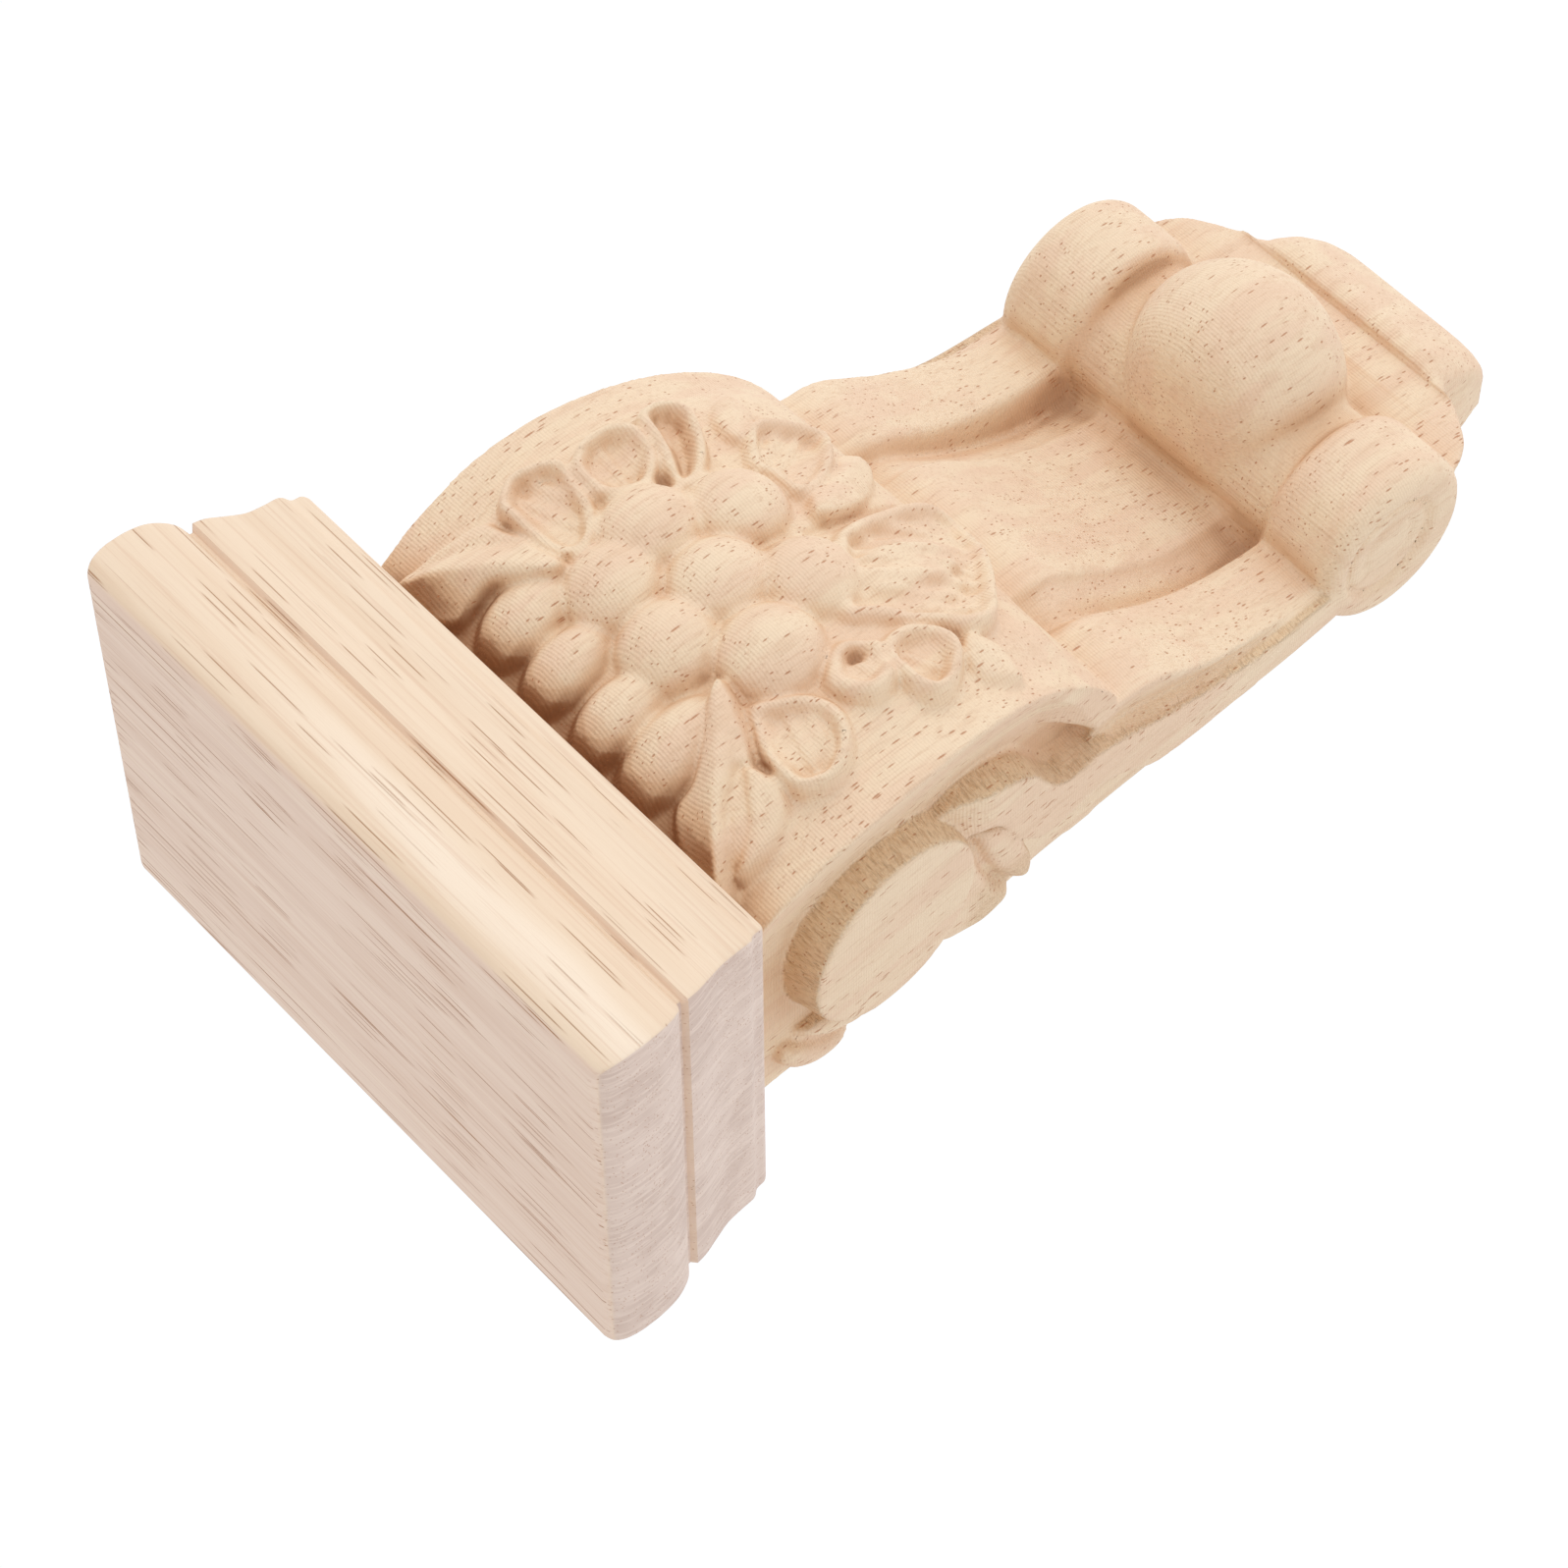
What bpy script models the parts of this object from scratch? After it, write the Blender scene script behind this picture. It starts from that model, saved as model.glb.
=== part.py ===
"""Carved wooden corbel: a moulded cap board glued on a carved scroll body with grapes and leaves.

Units are metres. +Z is up, the front of the corbel looks to -Y and its flat back lies on y = 0.
The origin is the fixing point on the body's back face. A "drop" is a distance below the top of
the cap, and a "depth" is a distance forward of the back face.
"""
import math

import bmesh
import bpy
import numpy as np
from mathutils import Matrix, Vector

MM = 0.001
JOINT_GAP = 0.3 * MM

# Driving dimensions of the whole corbel
CAP_WIDTH = 100 * MM
CAP_DEPTH = 64.5 * MM
CAP_HEIGHT = 30.5 * MM
FIXING_DROP = 75 * MM

# Cap moulding: how far each level stands in from the widest line, and its drop, in millimetres
CAP_PROFILE = [
    (2.6, 0.0), (1.3, 0.5), (0.4, 2.0), (0.0, 4.6), (0.05, 7.4), (0.4, 10.0), (1.1, 12.0),
    (2.1, 13.6), (3.4, 14.5), (3.4, 15.0), (2.7, 15.6), (3.0, 17.4), (3.8, 19.8), (4.6, 22.4),
    (4.9, 25.0), (5.1, 27.2), (5.9, 28.4), (6.1, 29.8), (6.6, 30.5),
]

# Bulge at the top of the body: an ellipse seen from the side, slightly crowned across
BULGE_CENTRE_DEPTH = 12 * MM
BULGE_CENTRE_DROP = 61.5 * MM
BULGE_REACH = 40.5 * MM
BULGE_HALF_HEIGHT = 43 * MM
BULGE_CROWN = 1.4 * MM
BED_LIFT = 1.4 * MM
BED_HALF_WIDTH = 32 * MM
BED_TOP_DROP = 30 * MM
BED_FOOT_DROP = 97 * MM
BED_EDGE = 7 * MM
LEDGE_DROP = 100.4 * MM
LEDGE_EDGE = 0.5 * MM

# Stem below the bulge: one sweep from the roll under the ledge to the volutes
STEM_TOP_DEPTH = 27.2 * MM
STEM_FOOT_DEPTH = 13.4 * MM
STEM_SWEEP_START = 97 * MM
STEM_SWEEP_END = 136 * MM
STEM_CROWN = 2.0 * MM
MIDDLE_BAND_LIFT = 1.6 * MM
FOOT_DROP = 142 * MM

# Two flutes part the stem into a wide middle band and two side bands
FLUTE_INNER = 10.5 * MM
FLUTE_BOTTOM = 17 * MM
FLUTE_OUTER = 20.5 * MM
FLUTE_DEPTH = 4.0 * MM

# Foot of the body: a short neck, a fine groove, and a lip that slopes back to the bottom
LIP_TOP_DROP = 176.8 * MM
LIP_CORNER = 2.6 * MM
LIP_CORNER_POWER = 8
NECK_DEPTHS = [(142, 13.4), (158, 15.0), (166, 17.4), (172, 17.2), (175.6, 16.6), (176.4, 16.2),
               (177.2, 17.8), (179.5, 17.9), (184, 15.2), (188.5, 11.2), (190, 9.4)]
EDGE_HALF_WIDTHS = [(30, 37.0), (41, 37.8), (52, 38.4), (62, 38.1), (75, 36.6), (86, 35.3),
                    (100.4, 33.8), (108, 34.9), (116, 34.6), (124, 33.2), (132, 32.2),
                    (142, 31.6), (165, 31.2), (170, 29.4), (173, 27.2), (176, 22.6),
                    (176.8, 21.6), (178.2, 17.6), (184, 17.2), (188.5, 16.6), (190, 15.4)]
BACK_HALF_WIDTHS = [(30, 33.8), (60, 33.0), (90, 30.4), (110, 29.6), (140, 28.6), (162, 27.6),
                    (172, 25.6), (176, 21.6), (178.2, 17.6), (184, 17.2), (190, 15.4)]
SIDE_HOLLOW_POWER = 2.6

# Where the sections of the core are taken: rows down the body and columns across the front
BULGE_ROWS = 13
STEM_ROWS = 9
FOOT_DROPS = [150, 160, 167, 172, 175.2, 176.3, 177.4, 179.5, 184, 188.5, 190]
SIDE_STEPS = [0, 0.3, 0.6, 0.82, 0.93]
FRONT_STEPS = [0.0, 0.16, 0.31, 0.41, 0.5, 0.55, 0.6, 0.74, 0.88, 1.0]

# Lower scrolls: a ball between two volutes
BALL_RADIUS = 15.6 * MM
BALL_DEPTH = 22 * MM
SCROLL_DROP = 153.8 * MM
VOLUTE_RADIUS = 13.2 * MM
VOLUTE_DEPTH = 15.2 * MM
VOLUTE_INNER = 18.5 * MM
VOLUTE_OUTER = 33.4 * MM
VOLUTE_ROUNDING = 3.0 * MM
BRIDGE_RADIUS = 11.5 * MM
BRIDGE_DEPTH = 13.5 * MM
BRIDGE_ROUNDING = 1.0 * MM
SPIRAL_RADIUS = 7.6 * MM
SPIRAL_WIDTH = 1.0 * MM

# Raised scroll on each side: a disc and a tail that runs down to the volute
SIDE_FACE = 38.4 * MM
SIDE_FACE_DROP = 57.5 * MM
SIDE_TILT = math.radians(3.3)
DISC_RADIUS = 14.2 * MM
DISC_DEPTH = 23.4 * MM
DISC_ROUNDING = 0.8 * MM
SIDE_SINK = 9 * MM
TAIL_OUTLINE = [
    (9.3, 143), (9.6, 119), (11.0, 107), (16.6, 97), (16.0, 86), (20.5, 80.5), (28.0, 75.5),
    (30.0, 66.0), (33.5, 68.0), (35.4, 74.0), (32.6, 81.8), (24.6, 88.2), (23.8, 97),
    (19.6, 109), (16.8, 119), (14.5, 130), (13.8, 143),
]

# Grapes on the front, in millimetres: across, drop on the bulge, radius
GRAPES = [
    (9.0, 52.0, 6.3), (-2.6, 51.3, 6.6), (12.4, 60.8, 6.6), (0.2, 61.6, 6.6), (-12.0, 59.4, 6.9),
    (8.0, 71.2, 6.5), (-6.4, 70.6, 6.5),
]
GRAPE_LIFT = 0.62
GRAPE_SQUASH = 0.9
# Gadroons hanging under the cap: across, drop, half width, half length
GADROONS = [
    (-13.4, 42.6, 5.4, 9.4), (-4.6, 41.0, 4.8, 7.6), (5.4, 41.2, 4.8, 7.4), (14.6, 42.2, 5.2, 7.8),
]
GADROON_THICKNESS = 4.6 * MM
GADROON_SINK = 1.0 * MM
GADROON_POINT = 0.2
# Spoon-shaped lobes with a raised rim: across, drop, half length, half width, turn in degrees
SPOONS = [
    (-24.6, 54.6, 7.6, 4.8, 3), (-21.8, 65.4, 6.8, 5.4, -14), (-22.0, 74.6, 7.8, 4.8, 26),
    (24.4, 55.0, 8.2, 5.2, -12), (22.8, 65.4, 7.0, 5.2, 14), (22.6, 74.4, 8.2, 4.6, -26),
    (14.0, 83.6, 5.6, 4.2, -26), (-5.6, 85.6, 8.8, 5.6, 76), (5.8, 86.0, 8.2, 4.6, 104),
]
SPOON_RIM = 1.5
SPOON_LIFT = 2.8
SPOON_HOLLOW_SHARE = 0.75
# Pointed leaves: across, drop, half length, half width, turn in degrees
LEAVES = [
    (-20.6, 43.6, 11.6, 3.8, -35), (-25.2, 48.0, 7.8, 3.2, -26), (-26.6, 38.2, 6.6, 3.4, -12),
    (23.6, 44.8, 10.6, 4.8, 42), (29.0, 43.8, 6.6, 3.4, 74),
    (-16.4, 82.6, 7.0, 3.6, 24), (-24.4, 82.6, 5.2, 2.8, 36), (21.4, 82.4, 5.6, 2.8, -34),
]
LEAF_LIFT = 2.5
LEAF_POINT = 0.6
# Twisted leaf ends behind the disc: depth, drop, half sizes across the depth and the height
SIDE_LEAF_OUT = 33.4 * MM
SIDE_LEAF_THICKNESS = 4.0 * MM
SIDE_LEAVES = [(6.2, 49.6, 5.8, 8.2), (9.6, 68.6, 5.6, 5.6), (13.4, 76.6, 7.4, 5.2)]

# Fineness of the facets
DRUM_SEGMENTS = 24
BRIDGE_SEGMENTS = 20
BALL_FACETS = (20, 12)
GRAPE_FACETS = (13, 9)
LOBE_FACETS = (12, 8)
LEAF_FACETS = (10, 6)
OUTLINE_RESOLUTION = 3
GROOVE_FACETS = 6
SLOPE_STEP = 0.5 * MM
MERGE_DISTANCE = 0.01 * MM


def curve_through(stations, position):
    """Reads the value at a position on a line through (position, value) stations."""
    places = [place for place, _ in stations]
    values = [value for _, value in stations]
    return float(np.interp(position, places, values))


def smooth_step(amount):
    """Goes from 0 to 1 with level ends."""
    clamped = min(max(amount, 0.0), 1.0)
    return clamped * clamped * (3 - 2 * clamped)


def level(drop):
    """Height of a drop in the part's frame, whose origin is the fixing point."""
    return FIXING_DROP - drop


def edge_half_width(drop):
    return curve_through(EDGE_HALF_WIDTHS, drop / MM) * MM


def back_half_width(drop):
    return curve_through(BACK_HALF_WIDTHS, drop / MM) * MM


def bulge_edge_depth(drop):
    """Depth of the bulge's side ridge, from an ellipse."""
    rise = (drop - BULGE_CENTRE_DROP) / BULGE_HALF_HEIGHT
    return BULGE_CENTRE_DEPTH + BULGE_REACH * math.sqrt(max(1 - rise * rise, 0.0))


def bed(across, drop):
    """The low mound that the grapes and leaves stand on, with soft edges."""
    sideways = smooth_step((BED_HALF_WIDTH - abs(across)) / BED_EDGE)
    upward = smooth_step((BED_FOOT_DROP - drop) / BED_EDGE) * smooth_step((drop - BED_TOP_DROP) / BED_EDGE)
    return BED_LIFT * sideways * upward


def bulge_depth(across, drop):
    share = across / edge_half_width(drop)
    return bulge_edge_depth(drop) + BULGE_CROWN * (1 - share * share) + bed(across, drop)


def flute(across):
    """How deep the flute is at a distance from the middle: a soft inner side, a steep outer one."""
    away = abs(across)
    inner_side = smooth_step((away - FLUTE_INNER) / (FLUTE_BOTTOM - FLUTE_INNER))
    outer_side = 1 - smooth_step((away - FLUTE_BOTTOM) / (FLUTE_OUTER - FLUTE_BOTTOM))
    return FLUTE_DEPTH * min(inner_side, outer_side)


def stem_edge_depth(drop):
    sweep = smooth_step((drop - STEM_SWEEP_START) / (STEM_SWEEP_END - STEM_SWEEP_START))
    return STEM_TOP_DEPTH + (STEM_FOOT_DEPTH - STEM_TOP_DEPTH) * sweep


def stem_depth(across, drop):
    share = across / edge_half_width(drop)
    middle = MIDDLE_BAND_LIFT * (1 - smooth_step(abs(across) / FLUTE_BOTTOM))
    return stem_edge_depth(drop) + STEM_CROWN * (1 - share * share) + middle - flute(across)


def foot_depth(across, drop):
    """Depth of the neck and the lip, whose front corners are rounded off."""
    corner = 0.0
    if drop > LIP_TOP_DROP:
        corner = LIP_CORNER * (across / edge_half_width(drop)) ** LIP_CORNER_POWER
    return curve_through(NECK_DEPTHS, drop / MM) * MM - corner


def section(drop, depth_at):
    """One level outline of the core, from its back left corner round the front to its back right."""
    edge = edge_half_width(drop)
    back = back_half_width(drop)
    edge_depth = depth_at(edge, drop)
    left_side = []
    for step in SIDE_STEPS:
        half = back + (edge - back) * step ** SIDE_HOLLOW_POWER
        left_side.append((-half, edge_depth * step))
    right_front = [(edge * step, depth_at(edge * step, drop)) for step in FRONT_STEPS]
    left_front = [(-across, depth) for across, depth in reversed(right_front[1:])]
    right_side = [(-across, depth) for across, depth in reversed(left_side)]
    outline = left_side + left_front + right_front + right_side
    return [Vector((across, -depth, level(drop))) for across, depth in outline]


def core_sections():
    """The sections of the core from under the cap down to the bottom."""
    top = CAP_HEIGHT + JOINT_GAP
    rows = []
    first = math.asin((top - BULGE_CENTRE_DROP) / BULGE_HALF_HEIGHT)
    last = math.asin((LEDGE_DROP - BULGE_CENTRE_DROP) / BULGE_HALF_HEIGHT)
    for row in range(BULGE_ROWS):
        angle = first + (last - first) * row / (BULGE_ROWS - 1)
        drop = BULGE_CENTRE_DROP + BULGE_HALF_HEIGHT * math.sin(angle)
        rows.append(section(drop, bulge_depth))
    stem_top = LEDGE_DROP + LEDGE_EDGE
    for row in range(STEM_ROWS):
        drop = stem_top + (FOOT_DROP - stem_top) * row / (STEM_ROWS - 1)
        rows.append(section(drop, stem_depth))
    for drop in FOOT_DROPS:
        rows.append(section(drop * MM, foot_depth))
    return rows


def loft(name, rows):
    """A closed solid through outlines that all have the same number of points."""
    mesh = bpy.data.meshes.new(name)
    form = bmesh.new()
    rings = [[form.verts.new(point) for point in row] for row in rows]
    count = len(rings[0])
    for upper, lower in zip(rings, rings[1:]):
        for index in range(count):
            after = (index + 1) % count
            form.faces.new((upper[index], lower[index], lower[after], upper[after]))
    form.faces.new(rings[0])
    form.faces.new(list(reversed(rings[-1])))
    bmesh.ops.recalc_face_normals(form, faces=form.faces)
    form.to_mesh(mesh)
    form.free()
    return bpy.data.objects.new(name, mesh)


def bulge_place(across, drop, lift, turn):
    """Frame on the bulge: its Z is the surface normal, its X runs along the turned direction."""
    rise = bulge_depth(across, drop + SLOPE_STEP) - bulge_depth(across, drop - SLOPE_STEP)
    slope = rise / (2 * SLOPE_STEP)
    normal = Vector((0, -1, -slope)).normalized()
    upward = normal.cross(Vector((1, 0, 0)))
    surface = Vector((across, -bulge_depth(across, drop), level(drop)))
    frame = Matrix((Vector((1, 0, 0)), upward, normal)).transposed().to_4x4()
    return Matrix.Translation(surface + normal * lift) @ frame @ Matrix.Rotation(turn, 4, "Z")


def ellipsoid(name, collection, place, half_sizes, point=0.0, facets=LOBE_FACETS):
    """A ball stretched to three half sizes; point above 0 draws its ends along X to a tip."""
    mesh = bpy.data.meshes.new(name)
    form = bmesh.new()
    bmesh.ops.create_uvsphere(form, u_segments=facets[0], v_segments=facets[1], radius=1.0)
    for vertex in form.verts:
        reach = 1 - point * vertex.co.x ** 2
        vertex.co.y *= reach
        vertex.co.z *= reach
    bmesh.ops.transform(form, matrix=place @ Matrix.Diagonal((*half_sizes, 1.0)), verts=form.verts)
    form.to_mesh(mesh)
    form.free()
    return add_to(collection, bpy.data.objects.new(name, mesh))


def drum(name, collection, centre, radius, half_length, rounding, segments=DRUM_SEGMENTS):
    """A cylinder across X with rounded ends."""
    mesh = bpy.data.meshes.new(name)
    form = bmesh.new()
    bmesh.ops.create_cone(form, cap_ends=True, segments=segments, radius1=radius, radius2=radius,
                          depth=2 * half_length)
    rims = [edge for edge in form.edges if any(len(face.verts) > 4 for face in edge.link_faces)]
    bmesh.ops.bevel(form, geom=rims, offset=rounding, segments=2, profile=0.5, affect="EDGES")
    turn = Matrix.Rotation(math.radians(90), 4, "Y")
    bmesh.ops.transform(form, matrix=Matrix.Translation(centre) @ turn, verts=form.verts)
    form.to_mesh(mesh)
    form.free()
    return add_to(collection, bpy.data.objects.new(name, mesh))


def extruded_outline(name, points, half_thickness):
    """A smooth flat outline with thickness, made from a filled 2D curve and turned into a mesh."""
    data = bpy.data.curves.new(name, "CURVE")
    data.dimensions = "2D"
    data.fill_mode = "BOTH"
    data.extrude = half_thickness
    data.resolution_u = OUTLINE_RESOLUTION
    spline = data.splines.new("BEZIER")
    spline.bezier_points.add(len(points) - 1)
    spline.use_cyclic_u = True
    for knot, (across, up) in zip(spline.bezier_points, points):
        knot.co = (across, up, 0)
        knot.handle_left_type = "AUTO"
        knot.handle_right_type = "AUTO"
    outline = bpy.data.objects.new(name, data)
    bpy.context.scene.collection.objects.link(outline)
    evaluated = outline.evaluated_get(bpy.context.evaluated_depsgraph_get())
    mesh = bpy.data.meshes.new_from_object(evaluated)
    bpy.data.objects.remove(outline)
    form = bmesh.new()
    form.from_mesh(mesh)
    bmesh.ops.remove_doubles(form, verts=form.verts, dist=MERGE_DISTANCE)
    bmesh.ops.recalc_face_normals(form, faces=form.faces)
    form.to_mesh(mesh)
    form.free()
    return bpy.data.objects.new(name, mesh)


def add_to(collection, thing):
    collection.objects.link(thing)
    return thing


def make_collection(name, is_helper):
    collection = bpy.data.collections.new(name)
    bpy.context.scene.collection.children.link(collection)
    collection.hide_render = is_helper
    return collection


def wood(name, colour):
    """Plain unfinished wood."""
    material = bpy.data.materials.new(name)
    material.use_nodes = True
    shader = material.node_tree.nodes["Principled BSDF"]
    shader.inputs["Base Color"].default_value = (*colour, 1.0)
    shader.inputs["Roughness"].default_value = 0.62
    shader.inputs["Metallic"].default_value = 0.0
    return material


def side_plane(side):
    """Frame of the raised side scroll: its X is the depth, its Y is up and its Z looks outward."""
    axes = Matrix(((0, 0, side, 0), (-1, 0, 0, 0), (0, 1, 0, 0), (0, 0, 0, 1)))
    pivot = Matrix.Translation((0, 0, level(SIDE_FACE_DROP)))
    tilt = Matrix.Rotation(side * SIDE_TILT, 4, "Y")
    face = Matrix.Translation((side * (SIDE_FACE - SIDE_SINK / 2), 0, 0))
    return pivot @ tilt @ face @ axes


def add_side_scrolls(raised, sunk):
    """On each side the disc with its tail, the leaf ends behind it, the volute and its spiral."""
    for side, label in ((-1, "left"), (1, "right")):
        place = side_plane(side)
        outline = [(depth * MM, SIDE_FACE_DROP - drop * MM) for depth, drop in TAIL_OUTLINE]
        tail = extruded_outline(f"tail_{label}", outline, SIDE_SINK / 2)
        tail.matrix_world = place
        add_to(raised, tail)
        disc_centre = place @ Vector((DISC_DEPTH, 0, 0))
        disc = drum(f"disc_{label}", raised, Vector(), DISC_RADIUS, SIDE_SINK / 2, DISC_ROUNDING)
        disc.matrix_world = Matrix.Translation(disc_centre) @ Matrix.Rotation(side * SIDE_TILT, 4, "Y")
        for index, (depth, drop, across, height) in enumerate(SIDE_LEAVES):
            middle = Matrix.Translation((side * SIDE_LEAF_OUT, -depth * MM, level(drop * MM)))
            sizes = (SIDE_LEAF_THICKNESS, across * MM, height * MM)
            ellipsoid(f"side_leaf_{label}_{index}", raised, middle, sizes)
        half = (VOLUTE_OUTER - VOLUTE_INNER) / 2
        centre = Vector((side * (VOLUTE_INNER + half), -VOLUTE_DEPTH, level(SCROLL_DROP)))
        drum(f"volute_{label}", raised, centre, VOLUTE_RADIUS, half, VOLUTE_ROUNDING)
        add_spiral(f"spiral_{label}", sunk, side)


def add_spiral(name, collection, side):
    """Ring that cuts the round groove on the end of a volute."""
    centre = Vector((side * VOLUTE_OUTER, -VOLUTE_DEPTH, level(SCROLL_DROP)))
    turn = Matrix.Rotation(math.radians(90), 4, "Y")
    bpy.ops.mesh.primitive_torus_add(major_radius=SPIRAL_RADIUS, minor_radius=SPIRAL_WIDTH,
                                     major_segments=DRUM_SEGMENTS, minor_segments=GROOVE_FACETS)
    ring = bpy.context.active_object
    ring.name = name
    ring.matrix_world = Matrix.Translation(centre) @ turn
    for owner in ring.users_collection:
        owner.objects.unlink(ring)
    add_to(collection, ring)


def add_front_carving(raised, sunk):
    """Grapes, gadroons, spoon lobes and leaves on the bulge, and the ball with its bridge below."""
    for index, (across, drop, radius) in enumerate(GRAPES):
        size = radius * MM
        place = bulge_place(across * MM, drop * MM, (GRAPE_LIFT - GRAPE_SQUASH) * size, 0)
        sizes = (size, size, GRAPE_SQUASH * size)
        ellipsoid(f"grape_{index}", raised, place, sizes, 0.0, GRAPE_FACETS)
    for index, (across, drop, half_width, half_length) in enumerate(GADROONS):
        place = bulge_place(across * MM, drop * MM, -GADROON_SINK, math.radians(90))
        sizes = (half_length * MM, half_width * MM, GADROON_THICKNESS)
        ellipsoid(f"gadroon_{index}", raised, place, sizes, GADROON_POINT)
    for index, (across, drop, half_length, half_width, turn) in enumerate(SPOONS):
        place = bulge_place(across * MM, drop * MM, 0, math.radians(turn))
        sizes = (half_length * MM, half_width * MM, SPOON_LIFT * MM)
        ellipsoid(f"spoon_{index}", raised, place, sizes)
        inner = place @ Matrix.Translation((0, 0, SPOON_LIFT * MM))
        floor = SPOON_HOLLOW_SHARE * SPOON_LIFT * MM
        hollow = ((half_length - SPOON_RIM) * MM, (half_width - SPOON_RIM) * MM, floor)
        ellipsoid(f"spoon_hollow_{index}", sunk, inner, hollow)
    for index, (across, drop, half_length, half_width, turn) in enumerate(LEAVES):
        place = bulge_place(across * MM, drop * MM, 0, math.radians(turn))
        sizes = (half_length * MM, half_width * MM, LEAF_LIFT * MM)
        ellipsoid(f"leaf_{index}", raised, place, sizes, LEAF_POINT, LEAF_FACETS)
    ball = Matrix.Translation((0, -BALL_DEPTH, level(SCROLL_DROP)))
    ellipsoid("ball", raised, ball, (BALL_RADIUS, BALL_RADIUS, BALL_RADIUS), 0.0, BALL_FACETS)
    bridge = Vector((0, -BRIDGE_DEPTH, level(SCROLL_DROP)))
    half_length = VOLUTE_INNER + VOLUTE_ROUNDING
    drum("bridge", raised, bridge, BRIDGE_RADIUS, half_length, BRIDGE_ROUNDING, BRIDGE_SEGMENTS)


def combine(body, name, operation, collection):
    """A Boolean of the body with every object in a collection."""
    modifier = body.modifiers.new(name, "BOOLEAN")
    modifier.operation = operation
    modifier.solver = "EXACT"
    modifier.operand_type = "COLLECTION"
    modifier.collection = collection


def make_body(parts, raised, sunk):
    """The carved body: a lofted core, with the carving joined on and the hollows cut in."""
    body = loft("carved_body", core_sections())
    add_to(parts, body)
    add_side_scrolls(raised, sunk)
    add_front_carving(raised, sunk)
    for helper in list(raised.objects) + list(sunk.objects):
        helper.hide_render = True
        helper.display_type = "WIRE"
    combine(body, "carving", "UNION", raised)
    combine(body, "hollows", "DIFFERENCE", sunk)
    body.data.materials.append(wood("body_wood", (0.80, 0.62, 0.44)))
    return body


def make_cap(parts):
    """The cap board: its moulding runs round the front and both sides, and its back is flat."""
    rows = []
    for inset, drop in CAP_PROFILE:
        half = CAP_WIDTH / 2 - inset * MM
        front = -(CAP_DEPTH - inset * MM)
        height = level(drop * MM)
        corners = ((-half, 0), (-half, front), (half, front), (half, 0))
        rows.append([Vector((across, along, height)) for across, along in corners])
    cap = loft("moulded_cap", rows)
    add_to(parts, cap)
    cap.data.materials.append(wood("cap_wood", (0.86, 0.70, 0.51)))
    return cap


def main():
    for thing in list(bpy.data.objects):
        bpy.data.objects.remove(thing)
    parts = make_collection("carved_wooden_corbel", False)
    raised = make_collection("raised_carving", True)
    sunk = make_collection("sunk_carving", True)
    make_cap(parts)
    make_body(parts, raised, sunk)


main()
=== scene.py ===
"""Carved wooden corbel: the visible surfaces, materials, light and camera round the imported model.

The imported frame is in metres, with +Z up, the front to -Y and the origin at the fixing point on
the flat back. The carving is worked out in millimetres: x across, depth forward of the back and
drop below the top of the cap.
"""
import math

import bmesh
import bpy
import numpy as np
from mathutils import Matrix, Vector


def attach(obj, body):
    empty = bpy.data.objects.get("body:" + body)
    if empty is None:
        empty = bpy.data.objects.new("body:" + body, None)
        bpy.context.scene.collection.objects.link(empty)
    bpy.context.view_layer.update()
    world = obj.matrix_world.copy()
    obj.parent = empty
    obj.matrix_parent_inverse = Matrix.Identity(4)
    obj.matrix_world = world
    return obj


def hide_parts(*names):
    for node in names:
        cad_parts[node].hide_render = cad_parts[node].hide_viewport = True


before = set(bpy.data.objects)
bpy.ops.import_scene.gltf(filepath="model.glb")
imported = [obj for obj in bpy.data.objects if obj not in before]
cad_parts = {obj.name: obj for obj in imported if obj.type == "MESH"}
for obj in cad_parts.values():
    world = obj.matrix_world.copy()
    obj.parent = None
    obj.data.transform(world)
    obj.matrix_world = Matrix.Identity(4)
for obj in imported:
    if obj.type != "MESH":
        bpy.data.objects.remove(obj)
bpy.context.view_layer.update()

MM = 0.001
FIXING_DROP = 75.0

# Cap: how far each level of the moulding stands in from the widest line, and its drop
CAP_WIDTH = 100.0
CAP_DEPTH = 64.5
CAP_HEIGHT = 30.5
JOINT_GAP = 0.3
CAP_BOTTOM_INSET = 6.6
CAP_COLUMNS = 64
CAP_SIDE_ROWS = 8
CAP_CORNER_ROUNDING = 0.5
CAP_SHARP_ANGLE = math.radians(32)
CAP_CURVES = [
    [(2.6, 0.0), (1.3, 0.5), (0.4, 2.0), (0.0, 4.6), (0.05, 7.4), (0.4, 10.0), (1.1, 12.0),
     (2.1, 13.6), (3.4, 14.5)],
    [(3.4, 14.5), (3.4, 15.0)],
    [(3.4, 15.0), (2.7, 15.6)],
    [(2.7, 15.6), (3.0, 17.4), (3.8, 19.8), (4.6, 22.4), (4.9, 25.0), (5.1, 27.2), (5.9, 28.4),
     (6.1, 29.8), (6.6, 30.5)],
]

# Bulge: an ellipse seen from the side, slightly crowned across
BULGE_DEPTH = 12.0
BULGE_DROP = 61.5
BULGE_REACH = 40.5
BULGE_HALF_HEIGHT = 43.0
BULGE_CROWN = 1.4
BULGE_HALF_WIDTH = 38.0
BED_LIFT = 1.4
BED_HALF_WIDTH = 32.0
BED_TOP_DROP = 30.0
BED_FOOT_DROP = 97.0
BED_EDGE = 7.0
LEDGE_DROP = 100.4

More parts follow.
